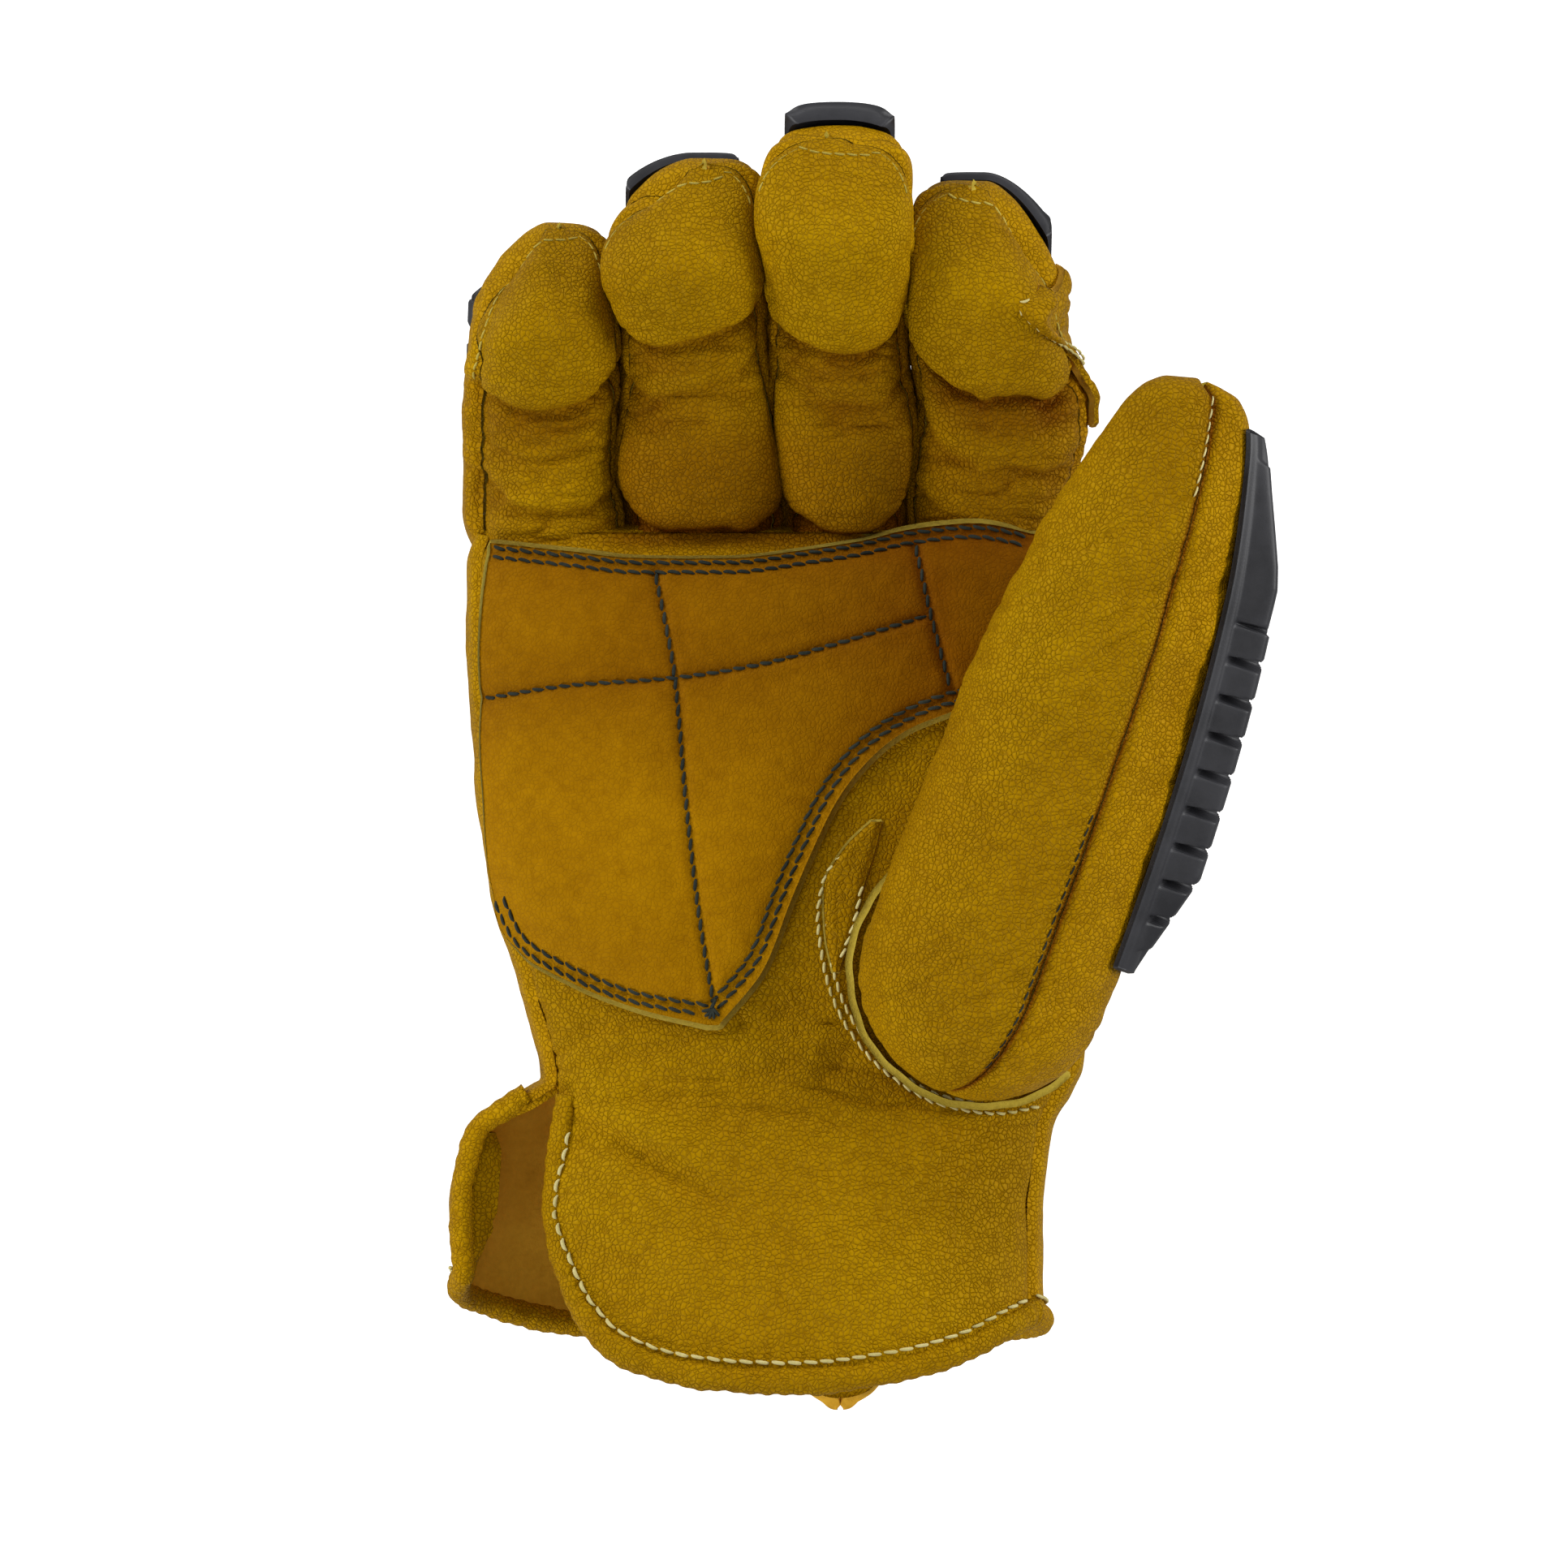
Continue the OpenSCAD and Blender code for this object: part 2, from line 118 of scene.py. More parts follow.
LATTICE = np.random.default_rng(7).uniform(-1, 1, (32, 32, 32))


def noise(p, size, seed=0):
    """Smooth noise from -1 to 1 at the points p, whose bumps are about size apart."""
    q = p / np.asarray(size, float) + 7.31 * (seed + 1)
    i = np.floor(q).astype(int)
    f = q - i
    f = f * f * (3 - 2 * f)
    total = 0
    for corner in itertools.product((0, 1), repeat=3):
        weight = np.prod([f[..., k] if corner[k] else 1 - f[..., k] for k in range(3)], axis=0)
        total = total + weight * LATTICE[tuple((i[..., k] + corner[k]) % 32 for k in range(3))]
    return total


def undulation(p, amount, seed=0):
    """The soft unevenness of filled leather."""
    return amount * (noise(p, 11, seed) + 0.5 * noise(p, 5, seed + 1) + 0.22 * noise(p, 2.4, seed + 2))


def creases(p, size, seed=0, sharp=0.25):
    """Thin valleys, 0 to -1. size is how far apart they are along X, Y and Z."""
    return -np.clip(1 - np.abs(noise(p, size, seed)) / sharp, 0, 1) ** 1.4


# ---- Meshes ----

def unit(v):
    return v / np.maximum(np.linalg.norm(v, axis=-1, keepdims=True), 1e-9)


def normals(grid):
    return unit(np.cross(np.gradient(grid, axis=0), np.gradient(grid, axis=1)))


def lengths(grid, axis):
    """How far along its row or column each point of a grid lies."""
    step = np.linalg.norm(np.diff(grid, axis=axis), axis=2)
    total = np.cumsum(step, axis=axis)
    zero = np.zeros_like(np.take(total, [0], axis=axis))
    return np.concatenate([zero, total], axis=axis)


def along_path(path):
    """How far along a path each of its points lies."""
    return np.concatenate([[0], np.cumsum(np.linalg.norm(np.diff(path, axis=0), axis=1))])


def spread_along(s, count, *paths):
    """Each path, as count points that are even along s."""
    at = np.linspace(0, s[-1], count)
    return [np.stack([np.interp(at, s, path[:, k]) for k in range(3)], axis=1) for path in paths]


def edge_distance(grid, axis=1):
    along = lengths(grid, axis)
    return np.minimum(along, np.take(along, [-1], axis=axis) - along)


def even_columns(dense, count):
    """Each row of a dense grid, with its points spread out evenly."""
    return np.array([spread_along(along_path(row), count, row)[0] for row in dense])


def mesh_object(name, points, faces, materials, face_materials=None, wear_and_shade=None):
    mesh = bpy.data.meshes.new(name)
    mesh.from_pydata((np.asarray(points) * MM).tolist(), [], faces)
    for material in materials:
        mesh.materials.append(material)
    if face_materials is not None:
        mesh.polygons.foreach_set("material_index", np.asarray(face_materials, dtype=np.int32))
    mesh.polygons.foreach_set("use_smooth", [True] * len(mesh.polygons))
    # These values are partly wear and partly painted shade and light, and the leather materials read them.
    if wear_and_shade is not None:
        attribute = mesh.attributes.new("wear_and_shade", "FLOAT", "POINT")
        attribute.data.foreach_set("value", np.asarray(wear_and_shade, dtype=np.float32))
    mesh.update()
    obj = bpy.data.objects.new(name, mesh)
    bpy.context.collection.objects.link(obj)
    return obj


def grid_faces(rows, cols, first=0, flip=False):
    i, j = np.meshgrid(np.arange(rows - 1), np.arange(cols - 1), indexing="ij")
    a = (first + i * cols + j).ravel()
    quads = np.stack([a, a + cols, a + cols + 1, a + 1], axis=1)
    return quads[:, ::-1] if flip else quads


def slab_parts(outer, relief=None, thickness=LEATHER, inner=None, bulge=0.3, shade=0):
    """Points, faces, face materials and the wear and painted shade of a sheet as thick as leather, with
    rounded edges.

    outer is a grid whose normals point out of the sheet's good side. shade is painted shade, which darkens
    it where below 0.
    """
    rows, cols = outer.shape[:2]
    n = normals(outer)
    top = outer if relief is None else outer + n * relief[..., None]
    inner = top - n * thickness if inner is None else inner
    index = np.arange(rows * cols).reshape(rows, cols)
    rim = np.concatenate([index[0, :], index[1:, -1], index[-1, -2::-1], index[-2:0:-1, 0]])
    flat_top, flat_inner = top.reshape(-1, 3), inner.reshape(-1, 3)
    middle = (flat_top[rim] + flat_inner[rim]) / 2
    along = unit(np.roll(middle, -1, axis=0) - np.roll(middle, 1, axis=0))
    outwards = unit(np.cross(n.reshape(-1, 3)[rim], along))
    middle = middle + outwards * thickness * bulge
    count = rows * cols
    m = len(rim)
    ring = 2 * count + np.arange(m)
    nxt = np.roll(np.arange(m), -1)
    sides = np.concatenate([
        np.stack([rim, rim[nxt], ring[nxt], ring], axis=1),
        np.stack([ring, ring[nxt], rim[nxt] + count, rim + count], axis=1)])
    faces = np.concatenate([grid_faces(rows, cols), grid_faces(rows, cols, count, True), sides[:, ::-1]])
    kinds = np.concatenate([
        np.zeros((rows - 1) * (cols - 1)), np.ones((rows - 1) * (cols - 1)), np.full(len(sides), 2)])
    wear_and_shade = np.zeros(2 * count + m)
    # Wear and painted shade: the relief's hollows come out darker and its high spots lighter, and shade
    # adds more painted shade on top.
    if relief is not None:
        wear_and_shade[:count] = (0.35 * np.clip(relief, -3.0, 1.2) + shade).ravel()
    return np.concatenate([flat_top, flat_inner, middle]), faces, kinds, wear_and_shade


def sheet_piece(name, sheets, materials):
    """One piece made of one or more sheets, each a dictionary of what slab_parts takes."""
    points, faces, kinds, wear_and_shade = [], [], [], []
    first = 0
    for sheet in sheets:
        p, f, k, w = slab_parts(**sheet)
        points.append(p)
        faces.append(f + first)
        kinds.append(k)
        wear_and_shade.append(w)
        first += len(p)
    return mesh_object(name, np.concatenate(points), np.concatenate(faces).tolist(), materials,
                       np.concatenate(kinds), np.concatenate(wear_and_shade))


def tube_parts(path, across, up, radii, sides=8, closed_ends=True):
    """A tube along path. radii gives the half width and half height at each point of it."""
    turn = np.linspace(0, 2 * np.pi, sides, endpoint=False)
    rings = (path[:, None] + across[:, None] * (radii[:, 0:1] * np.cos(turn))[..., None]
             + up[:, None] * (radii[:, 1:2] * np.sin(turn))[..., None])
    count = len(path)
    faces = []
    for i in range(count - 1):
        for j in range(sides):
            a, b = i * sides + j, i * sides + (j + 1) % sides
            faces.append([a, b, b + sides, a + sides])
    if closed_ends:
        faces.append(list(range(sides))[::-1])
        faces.append([(count - 1) * sides + j for j in range(sides)])
    return rings.reshape(-1, 3), faces


def resample(path, other, spacing):
    """path and the rows of other, at points spacing apart."""
    s = along_path(path)
    return spread_along(s, max(2, int(round(s[-1] / spacing)) + 1), path, other)


STITCH_RINGS = 7
STITCH_STEPS = 8     # points of a seam's path from one stitch to the next


def stitches(name, lines, material, radius=0.42, pitch=PITCH, slant=0.12, sink=0.35, fill=6):
    """Rows of single stitches. Each line is a path and the surface's normals along it.

    fill is how many of a stitch's steps its thread covers, and sink how far its ends go in.
    """
    points, faces = [], []
    first = 0
    t = np.linspace(-1, 1, STITCH_RINGS)
    for path, up in lines:
        path, up = resample(path, up, pitch / STITCH_STEPS)
        up = unit(up)
        for start in range(1, len(path) - STITCH_STEPS, STITCH_STEPS):
            a, b = path[start], path[start + fill]
            middle, normal = path[start + 3], up[start + 3]
            ahead = unit(b - a)
            side = np.cross(ahead, normal)
            sides, ups = np.tile(side, (STITCH_RINGS, 1)), np.tile(normal, (STITCH_RINGS, 1))
            half = np.linalg.norm(b - a) / 2 * 1.08
            run = (middle + t[:, None] * half * (ahead + slant * side)
                   + normal * (radius * 0.75 - sink * np.abs(t)[:, None] ** 3))
            ring = np.repeat(radius * (1 - 0.45 * np.abs(t[:, None]) ** 4), 2, axis=1)
            p, f = tube_parts(run, sides, ups, ring, 6)
            points.append(p)
            faces += [[v + first for v in face] for face in f]
            first += len(p)
    return mesh_object(name, np.concatenate(points), faces, [material])


# ---- Materials ----

class Look:
    """A material, made by calls that each add a node and link it."""

    def __init__(self, name, roughness, specular=0.3):
        self.material = bpy.data.materials.new(name)
        self.material.use_nodes = True
        self.nodes = self.material.node_tree.nodes
        self.shader = self.nodes["Principled BSDF"].inputs
        self.shader["Roughness"].default_value = roughness
        self.shader["Specular IOR Level"].default_value = specular

    def node(self, kind, inputs, **settings):
        """The outputs of a new node. Each input is a value or another node's output."""
        node = self.nodes.new(kind)
        for key, value in settings.items():
            setattr(node, key, value)
        for key, value in inputs.items():
            self.feed(node.inputs[key], value)
        return node.outputs

    def feed(self, socket, value):
        if isinstance(value, bpy.types.NodeSocket):
            self.material.node_tree.links.new(value, socket)
        else:
            socket.default_value = value

    def place(self):
        return self.nodes.new("ShaderNodeTexCoord").outputs["Object"]

    def noise(self, place, scale, detail, roughness=0.5):
        return self.node("ShaderNodeTexNoise", {
            "Vector": place, "Scale": scale, "Detail": detail, "Roughness": roughness})

    def ramp(self, value, *stops):
        node = self.nodes.new("ShaderNodeValToRGB")
        while len(node.color_ramp.elements) < len(stops):
            node.color_ramp.elements.new(0.5)
        for element, (place, colour) in zip(node.color_ramp.elements, stops):
            element.position = place
            element.color = (*colour, 1) if isinstance(colour, tuple) else (colour, colour, colour, 1)
        self.feed(node.inputs["Fac"], value)
        return node.outputs["Color"]

    def multiply_add(self, a, factor, b, kind="ShaderNodeMath"):
        return self.node(kind, {0: a, 1: factor, 2: b}, operation="MULTIPLY_ADD")[0]

    def darken(self, colour, by, amount=1.0):
        """A colour multiplied by another."""
        kind = {"data_type": "RGBA", "blend_type": "MULTIPLY"}
        return self.node("ShaderNodeMix", {0: amount, 6: colour, 7: by}, **kind)[2]

    def spread(self, value, limits):
        return self.node("ShaderNodeMapRange", {"Value": value, **limits})["Result"]

    def bump(self, height, strength, distance):
        made = self.node("ShaderNodeBump", {"Height": height, "Strength": strength, "Distance": distance})
        self.feed(self.shader["Normal"], made["Normal"])


def grain_leather(name, dark, mid, light, pebble=1150.0, depth=0.00032, roughness=0.48, furrow=0.62):
    """Grain leather: patchy colour, a pebbled grain, and darker creases and paler high spots that are
    partly wear and partly painted shade and light.
    """
    look = Look(name, roughness)
    look.shader["Specular Tint"].default_value = (1.0, 0.72, 0.0, 1)
    place = look.place()
    cloud = look.noise(place, 26.0, 5.0, 0.62)["Fac"]
    speck = look.noise(place, 420.0, 3.0, 0.6)["Fac"]
    wear_and_shade = look.node("ShaderNodeAttribute", {}, attribute_name="wear_and_shade")["Fac"]
    level = look.spread(wear_and_shade, {"From Min": -1.6, "From Max": 1.6})
    tone = look.ramp(cloud, (0.3, dark), (0.52, mid), (0.74, light))
    tone = look.darken(tone, look.ramp(
        speck, (0.3, (0.86, 0.83, 0.8)), (0.6, 1.0), (0.8, (1.08, 1.08, 1.1))))
    # Wear and painted shade: low wear values (hollows, finger roots, under folds) turn the tone darker and
    # redder as painted shade; high ones, on raised pads, turn it a little lighter, partly rubbing and
    # partly painted light.
    tone = look.darken(tone, look.ramp(
        level, (0.0, (0.40, 0.20, 0.3)), (0.4, (0.93, 0.88, 0.9)), (0.62, 1.0), (1.0, (1.07, 1.08, 1.1))))
    # The grain: cells with thin valleys between them, pulled about so that they don't look regular.
    bend = look.noise(place, 300.0, 2.0)["Color"]
    shifted = look.multiply_add(bend, (0.0013, 0.0013, 0.0013), place, "ShaderNodeVectorMath")
    cells = look.node("ShaderNodeTexVoronoi", {"Vector": shifted, "Scale": pebble},
                      feature="DISTANCE_TO_EDGE")["Distance"]
    pores = look.noise(place, 1900.0, 2.0)["Fac"]
    height = look.multiply_add(pores, 0.45, look.ramp(cells, (0.0, 0.0), (0.12, 0.65), (0.4, 1.0)))
    look.bump(height, 0.8, depth)
    valley = look.ramp(cells, (0.0, (0.62, 0.54, 0.46)), (0.14, 1.0))
    look.feed(look.shader["Base Color"], look.darken(tone, valley, furrow))
    look.feed(look.shader["Roughness"], look.spread(
        cloud, {"To Min": roughness - 0.07, "To Max": roughness + 0.12}))
    return look.material


def napped(name, dark, light, scale=900.0, roughness=0.95, depth=0.0003):
    """Suede, a cut edge, thread or elastic: matt, fibrous and uneven."""
    look = Look(name, roughness, 0.2)
    place = look.place()
    fibre = look.noise(place, scale, 4.0, 0.7)["Fac"]
    cloud = look.noise(place, 70.0, 3.0)["Fac"]
    tone = look.ramp(look.multiply_add(fibre, 0.6, cloud), (0.45, dark), (1.05, light))
    look.feed(look.shader["Base Color"], tone)
    look.bump(fibre, 0.7, depth)
    return look.material


def moulded_rubber(name):
    look = Look(name, 0.5, 0.45)
    place = look.place()
    cloud = look.noise(place, 90.0, 5.0, 0.65)["Fac"]
    tone = look.ramp(cloud, (0.35, (0.018, 0.018, 0.021)), (0.65, (0.034, 0.034, 0.039)))
    look.feed(look.shader["Base Color"], tone)
    look.feed(look.shader["Roughness"], look.spread(cloud, {"To Min": 0.4, "To Max": 0.62}))
    look.bump(look.noise(place, 2600.0, 2.0)["Fac"], 0.25, 0.00008)
    return look.material


def fine_thread(name, dark, light):
    return napped(name, dark, light, scale=2200.0, depth=0.0001)


GOLD = grain_leather("gold_leather", (0.345, 0.176, 0.0006), (0.41, 0.22, 0.0008), (0.465, 0.259, 0.001))
# The back pieces get a lighter copy of the gold leather: painted light standing in for the rim light on the
# glove's sides and the cuff's flap.
GOLD_BACK_RIM_LIT = grain_leather(
    "gold_back_leather_rim_lit", (0.41, 0.215, 0.001), (0.50, 0.27, 0.0012), (0.58, 0.32, 0.002))
GOLD_PATCH = grain_leather(
    "gold_patch_leather", (0.345, 0.152, 0.0006), (0.395, 0.184, 0.0008), (0.45, 0.222, 0.0012),
    pebble=1200.0, depth=0.0001, roughness=0.62, furrow=0.3)
SUEDE = napped("suede", (0.56, 0.28, 0.012), (0.82, 0.45, 0.035))
CUT_EDGE = napped("cut_edge", (0.30, 0.20, 0.01), (0.56, 0.42, 0.05), scale=1300.0)
BLACK_THREAD = fine_thread("black_thread", (0.006, 0.008, 0.006), (0.035, 0.042, 0.034))
CREAM_THREAD = fine_thread("cream_thread", (0.42, 0.35, 0.10), (0.72, 0.64, 0.30))
SEAM_THREAD = fine_thread("seam_thread", (0.28, 0.20, 0.02), (0.62, 0.50, 0.10))
ELASTIC = napped("elastic", (0.35, 0.29, 0.16), (0.55, 0.48, 0.32), scale=1500.0)
RUBBER = moulded_rubber("guard_rubber")
LEATHER_SET = [GOLD, SUEDE, CUT_EDGE]
BACK_SET = [GOLD_BACK_RIM_LIT, SUEDE, CUT_EDGE]
PATCH_SET = [GOLD_PATCH, SUEDE, CUT_EDGE]


def settle(piece, body=None, blend=None, replaces=()):
    if replaces:
        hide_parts(*replaces)
    if body:
        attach(piece, body)
    if blend:
        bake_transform(piece)
    return piece


# ---- Camera, floor and lights ----

CAMERA_DISTANCE = 1.6
VIEW_WIDTH = 0.2802      # what the picture spans at the height of the palm
VIEW_CENTRE = (-0.0129, -0.0038)
PALM_HEIGHT = 0.045
ROOM = 3                 # how far off the backdrop's walls stand, and how high they are


def softbox(name, place, watts, aim=(0, 0, 0.03), size=(0.5, 0.4)):
    light = bpy.data.lights.new(name, "AREA")
    light.shape = "RECTANGLE"
    light.size, light.size_y = size
    light.energy = watts
    lamp = bpy.data.objects.new(name, light)
    lamp.location = place
    lamp.rotation_euler = (Vector(aim) - Vector(place)).to_track_quat("-Z", "Y").to_euler()
    bpy.context.collection.objects.link(lamp)


def studio():
    scene = bpy.context.scene
    data = bpy.data.cameras.new("camera")
    data.sensor_width = 36
    data.lens = 36 * (CAMERA_DISTANCE - PALM_HEIGHT) / VIEW_WIDTH
    data.clip_end = 20
    camera = bpy.data.objects.new("camera", data)
    camera.location = (*VIEW_CENTRE, CAMERA_DISTANCE)
    bpy.context.collection.objects.link(camera)
    scene.camera = camera
    scene.view_settings.view_transform = "Standard"

    mesh = bpy.data.meshes.new("floor")
    square = [(-ROOM, -ROOM), (ROOM, -ROOM), (ROOM, ROOM), (-ROOM, ROOM)]
    corners = [(x, y, z) for z in (0, ROOM) for x, y in square]
    walls = [(i, i + 4, (i + 1) % 4 + 4, (i + 1) % 4) for i in range(4)]
    mesh.from_pydata(corners, [], [(0, 1, 2, 3), *walls])
    floor = bpy.data.objects.new("floor", mesh)
    bpy.context.collection.objects.link(floor)
    look = Look("pale_floor", 0.9, 0.1)
    look.shader["Base Color"].default_value = (0.9, 0.9, 0.9, 1)
    look.shader["Emission Color"].default_value = (1, 1, 1, 1)
    look.shader["Emission Strength"].default_value = 0.72
    mesh.materials.append(look.material)
    # The floor and its walls are a clean backdrop and shouldn't light the glove.
    floor.visible_diffuse = False
    floor.visible_glossy = False

    world = bpy.data.worlds.new("studio")
    scene.world = world
    world.use_nodes = True
    background = world.node_tree.nodes["Background"]
    background.inputs["Color"].default_value = (1, 1, 1, 1)
    background.inputs["Strength"].default_value = 0.24

    softbox("upper_left", (-0.85, 0.55, 0.42), 7.2)
    softbox("right", (0.95, 0.1, 0.42), 7.2)
    softbox("lower_left", (-0.6, -0.85, 0.40), 6.0, aim=(0, -0.03, 0.03))
    softbox("top", (0.25, 0.95, 0.45), 3.0)
    softbox("overhead", (0.0, -0.1, 1.5), 1.6, size=(0.5, 0.5))


# ---- Trunk: palm, back and cuff ----

HEM_FLOOR = -114     # where the trunk's rows end before the hems cut them
# y, middle along X, half width, middle along Z, half height, and how boxy the section is
TRUNK = [
    (HEM_FLOOR, -13.0, 47.5, 28.5, 27.5, 2.4), (-100, -13.2, 47.2, 28.0, 26.8, 2.4),
    (-80, -13.5, 47.0, 27.0, 23.0, 2.5), (-66, -12.0, 47.0, 26.5, 20.5, 2.6),
    (-54, -8.5, 49.2, 26.3, 19.6, 2.7), (-40, -9.5, 52.0, 26.4, 19.9, 2.8),
    (-20, -13.0, 54.0, 26.6, 20.4, 3.0), (0, -15.3, 54.2, 26.6, 20.4, 3.2),
    (20, -16.0, 54.4, 26.4, 19.6, 3.6), (36, -16.1, 54.2, 28.0, 15.7, 4.0),
    (46, -16.1, 50.8, 28.2, 14.6, 3.8)]
trunk_at = [curve(*[(row[0], row[column]) for row in TRUNK]) for column in range(1, 6)]
vent_flare = curve((HEM_FLOOR, 0.10), (-80, 0.13), (-66, 0.115), (-61, 0.06), (-57, 0))
SEAM_RIGHT = 20      # the side seams, in degrees round the trunk
SEAM_LEFT = 158
FRONT_VENT = 149.5   # the two rolled edges of the vent
BACK_VENT = 166.5
VENT_TOP = -60
front_hem = curve((20, -101), (35, -103), (50, -106.5), (70, -110), (90, -112), (110, -110.5), (125, -107),
                  (136, -101), (144, -93), (150, -83), (158, -74))
back_hem = curve((158, -92), (180, -97), (200, -100), (235, -105), (270, -107.5), (330, -105), (380, -101))


def trunk_point(y, a, k=0.0, flare=0.0):
    """A point on the trunk at y and the angle a round it, k inside its outer surface."""
    cx, hw, cz, hh, roundness = [f(y) for f in trunk_at]
    e = 2 / roundness
    c, s = np.cos(rad(a)), np.sin(rad(a))
    out = np.where(c < 0, flare * 100 * vent_flare(y) * c, 0)
    x = cx + (hw - k) * spow(c, e) + out
    dip = mouth_dip(x, y) * np.clip(s, 0, 1) ** 0.5
    return np.stack(np.broadcast_arrays(x, y, cz + (hh - k) * spow(s, e) - dip), axis=-1) + SHIFT


def mouth_dip(x, y):
    """How far the palm turns down where the fingers begin, most of all between the outer two."""
    return 2.7 * smooth(y, 33, 42.5) * (0.35 + 0.65 * smooth(x, -46, -38) * (1 - smooth(x, 12, 22)))


def palm_point(x, y, k=0.0):
    """The point of the trunk's palm side at x and y, before the shift."""
    cx, hw, cz, hh, roundness = [f(y) for f in trunk_at]
    q = np.clip(np.abs(x - cx) / (hw - k), 0, 1)
    z = cz + (hh - k) * (1 - q ** roundness) ** (1 / roundness) - mouth_dip(x, y)
    return np.stack(np.broadcast_arrays(x, y, z), axis=-1) + SHIFT


def hem_rows(y, hem):
    """Rows below the vent's top are stretched or squeezed to end at the hem."""
    return np.where(y > VENT_TOP, y, VENT_TOP + (y - VENT_TOP) * (hem - VENT_TOP) / (HEM_FLOOR - VENT_TOP))


def trunk_grid(rows, angle_from, angle_to, hem, columns, flare=0.0, k=0.0):
    """A grid on the trunk, whose columns are evenly spread. Returns it with its angles."""
    t = np.linspace(0, 1, 500)
    dense = []
    for y in rows:
        a = angle_from(y) + (angle_to(y) - angle_from(y)) * t
        dense.append(trunk_point(hem_rows(np.full_like(a, y), hem(a)), a, k, flare))
    return even_columns(dense, columns)


def wrist_relief(p):
    """Fine wrinkles across the wrist, and the loose folds of the cuff."""
    y = p[..., 1] - SHIFT[1]
    x = p[..., 0] - SHIFT[0]
    wrist = bell(y, -54, 13)
    bend = np.stack([x, y + 3 * np.sin(x / 17), p[..., 2]], axis=-1)
    fine = creases(bend, (22, 2.4, 22), 3, 0.6) * 0.6 + creases(bend, (15, 4.5, 30), 5, 0.35) * 0.7
    loose = noise(p, (30, 21, 60), 11) * 1.5 * smooth(-y, 58, 84)
    patches = smooth(-y, 60, 78) * (0.5 + 0.5 * noise(p, 20, 13))
    loose = loose + 0.35 * creases(p, (6, 5, 9), 12, 0.45) * patches
    fold = -1.5 * bell((y + 71 + (x + 37) * 0.55) / 2.4, 0, 1) * bell(x, -38, 13)
    ridge = 1.3 * bell((y + 66 + (x + 37) * 0.55) / 5, 0, 1) * bell(x, -38, 15)
    dent = -0.9 * bell(y, -57, 7) * bell(x, 5, 22)
    return wrist * fine + loose + fold + ridge + dent


def palm_relief(p):
    """How far the palm panel stands out at the points p, pressed flatter under the patch."""
    y = p[..., 1] - SHIFT[1]
    relief = undulation(p, 0.35) + wrist_relief(p)
    relief = relief * (0.5 + 0.5 * smooth(-y, 40, 48))
    pull = 0.4 * creases(p, (9, 2.0, 9), 21, 0.35) * bell(y, -45, 8)
    return relief + pull - 0.6 * bell(y, 41, 2.5)


def palm_panel():
    rows = np.arange(HEM_FLOOR, 42.2, STEP)
    grid = trunk_grid(
        rows, lambda y: SEAM_RIGHT + 0.4,
        lambda y: SEAM_LEFT - 0.5 - 8 * smooth(-y, 59, 63), lambda a: front_hem(a) + 3.0, 230)
    relief = palm_relief(grid) - 0.7 * bell(edge_distance(grid), 0, 1.0)
    x, y = grid[..., 0] - SHIFT[0], grid[..., 1] - SHIFT[1]
    # Painted shade: the panel turns darker just below the fingers' roots, most across the middle of the
    # hand.
    shade = -1.1 * smooth(y, 35.5, 41) * (0.4 + 0.6 * smooth(x, -50, -40) * (1 - smooth(x, 12, 24)))
    piece = sheet_piece("palm_panel", [dict(outer=grid, relief=relief, shade=shade)], [GOLD, SUEDE, GOLD])
    settle(piece, "hand", replaces=["palm_panel"])


def back_relief(p):
    x, y = p[..., 0] - SHIFT[0], p[..., 1] - SHIFT[1]
    below = smooth(20 - p[..., 2], 0, 12)
    # The elastic inside gathers the back of the wrist into short upright folds.
    gather = np.sin(x * 2 * np.pi / 6.5 + 1.5 * noise(p, 14, 31)) * bell(y, -53.5, 8) * 1.3
    pinch = -1.6 * bell(y, -51, 2.2) - 1.6 * bell(y, -56, 2.2)
    return undulation(p, 0.45, 4) + below * (gather + pinch)


def back_panel():
    rows = np.concatenate([np.arange(HEM_FLOOR, -62, STEP * 1.1), np.arange(-62, 42, STEP * 1.1)])
    grid = trunk_grid(
        rows, lambda y: SEAM_LEFT + 0.3 + 8 * smooth(-y, 59, 63),
        lambda y: 360 + SEAM_RIGHT - 0.3, lambda a: back_hem(a) + 3.0, 300, flare=1.0)
    relief = back_relief(grid) - 1.1 * bell(edge_distance(grid), 0, 1.5)
    piece = sheet_piece("back_panel", [dict(outer=grid, relief=relief)],
                        [GOLD_BACK_RIM_LIT, SUEDE, GOLD_BACK_RIM_LIT])
    settle(piece, "hand", replaces=["back_panel"])


# ---- Palm patch ----

PATCH_LIFT = 0.35 + LEATHER
PATCH_LOW, PATCH_HIGH = -46.5, 44
patch_left = curve((PATCH_LOW, -27), (-44, -38), (-39, -51.5), (-34, -60.5), (-27, -65.3), (-5, -66.9),
                   (12, -67.6), (30, -67), (PATCH_HIGH, -66))
patch_right = curve((PATCH_LOW, -25), (-36.5, -17), (-24.5, -12.2), (-14.5, -7.9), (-6, -3.6), (1, 2),
                    (6.2, 8.7), (9.4, 16.5), (12, 24), (PATCH_HIGH, 36))
patch_top = curve((-67, 38.2), (-52, 36.5), (-39, 35.2), (-23, 35.2), (-8.5, 37), (0.3, 38.4), (9.7, 40.6),
                  (20.6, 41.6), (31.5, 39.7), (38, 38))
EDGE_MARGIN = 1.9    # from the outer row of stitches to the cut edge
ROW_GAP = 1.75       # between the two rows of a double seam

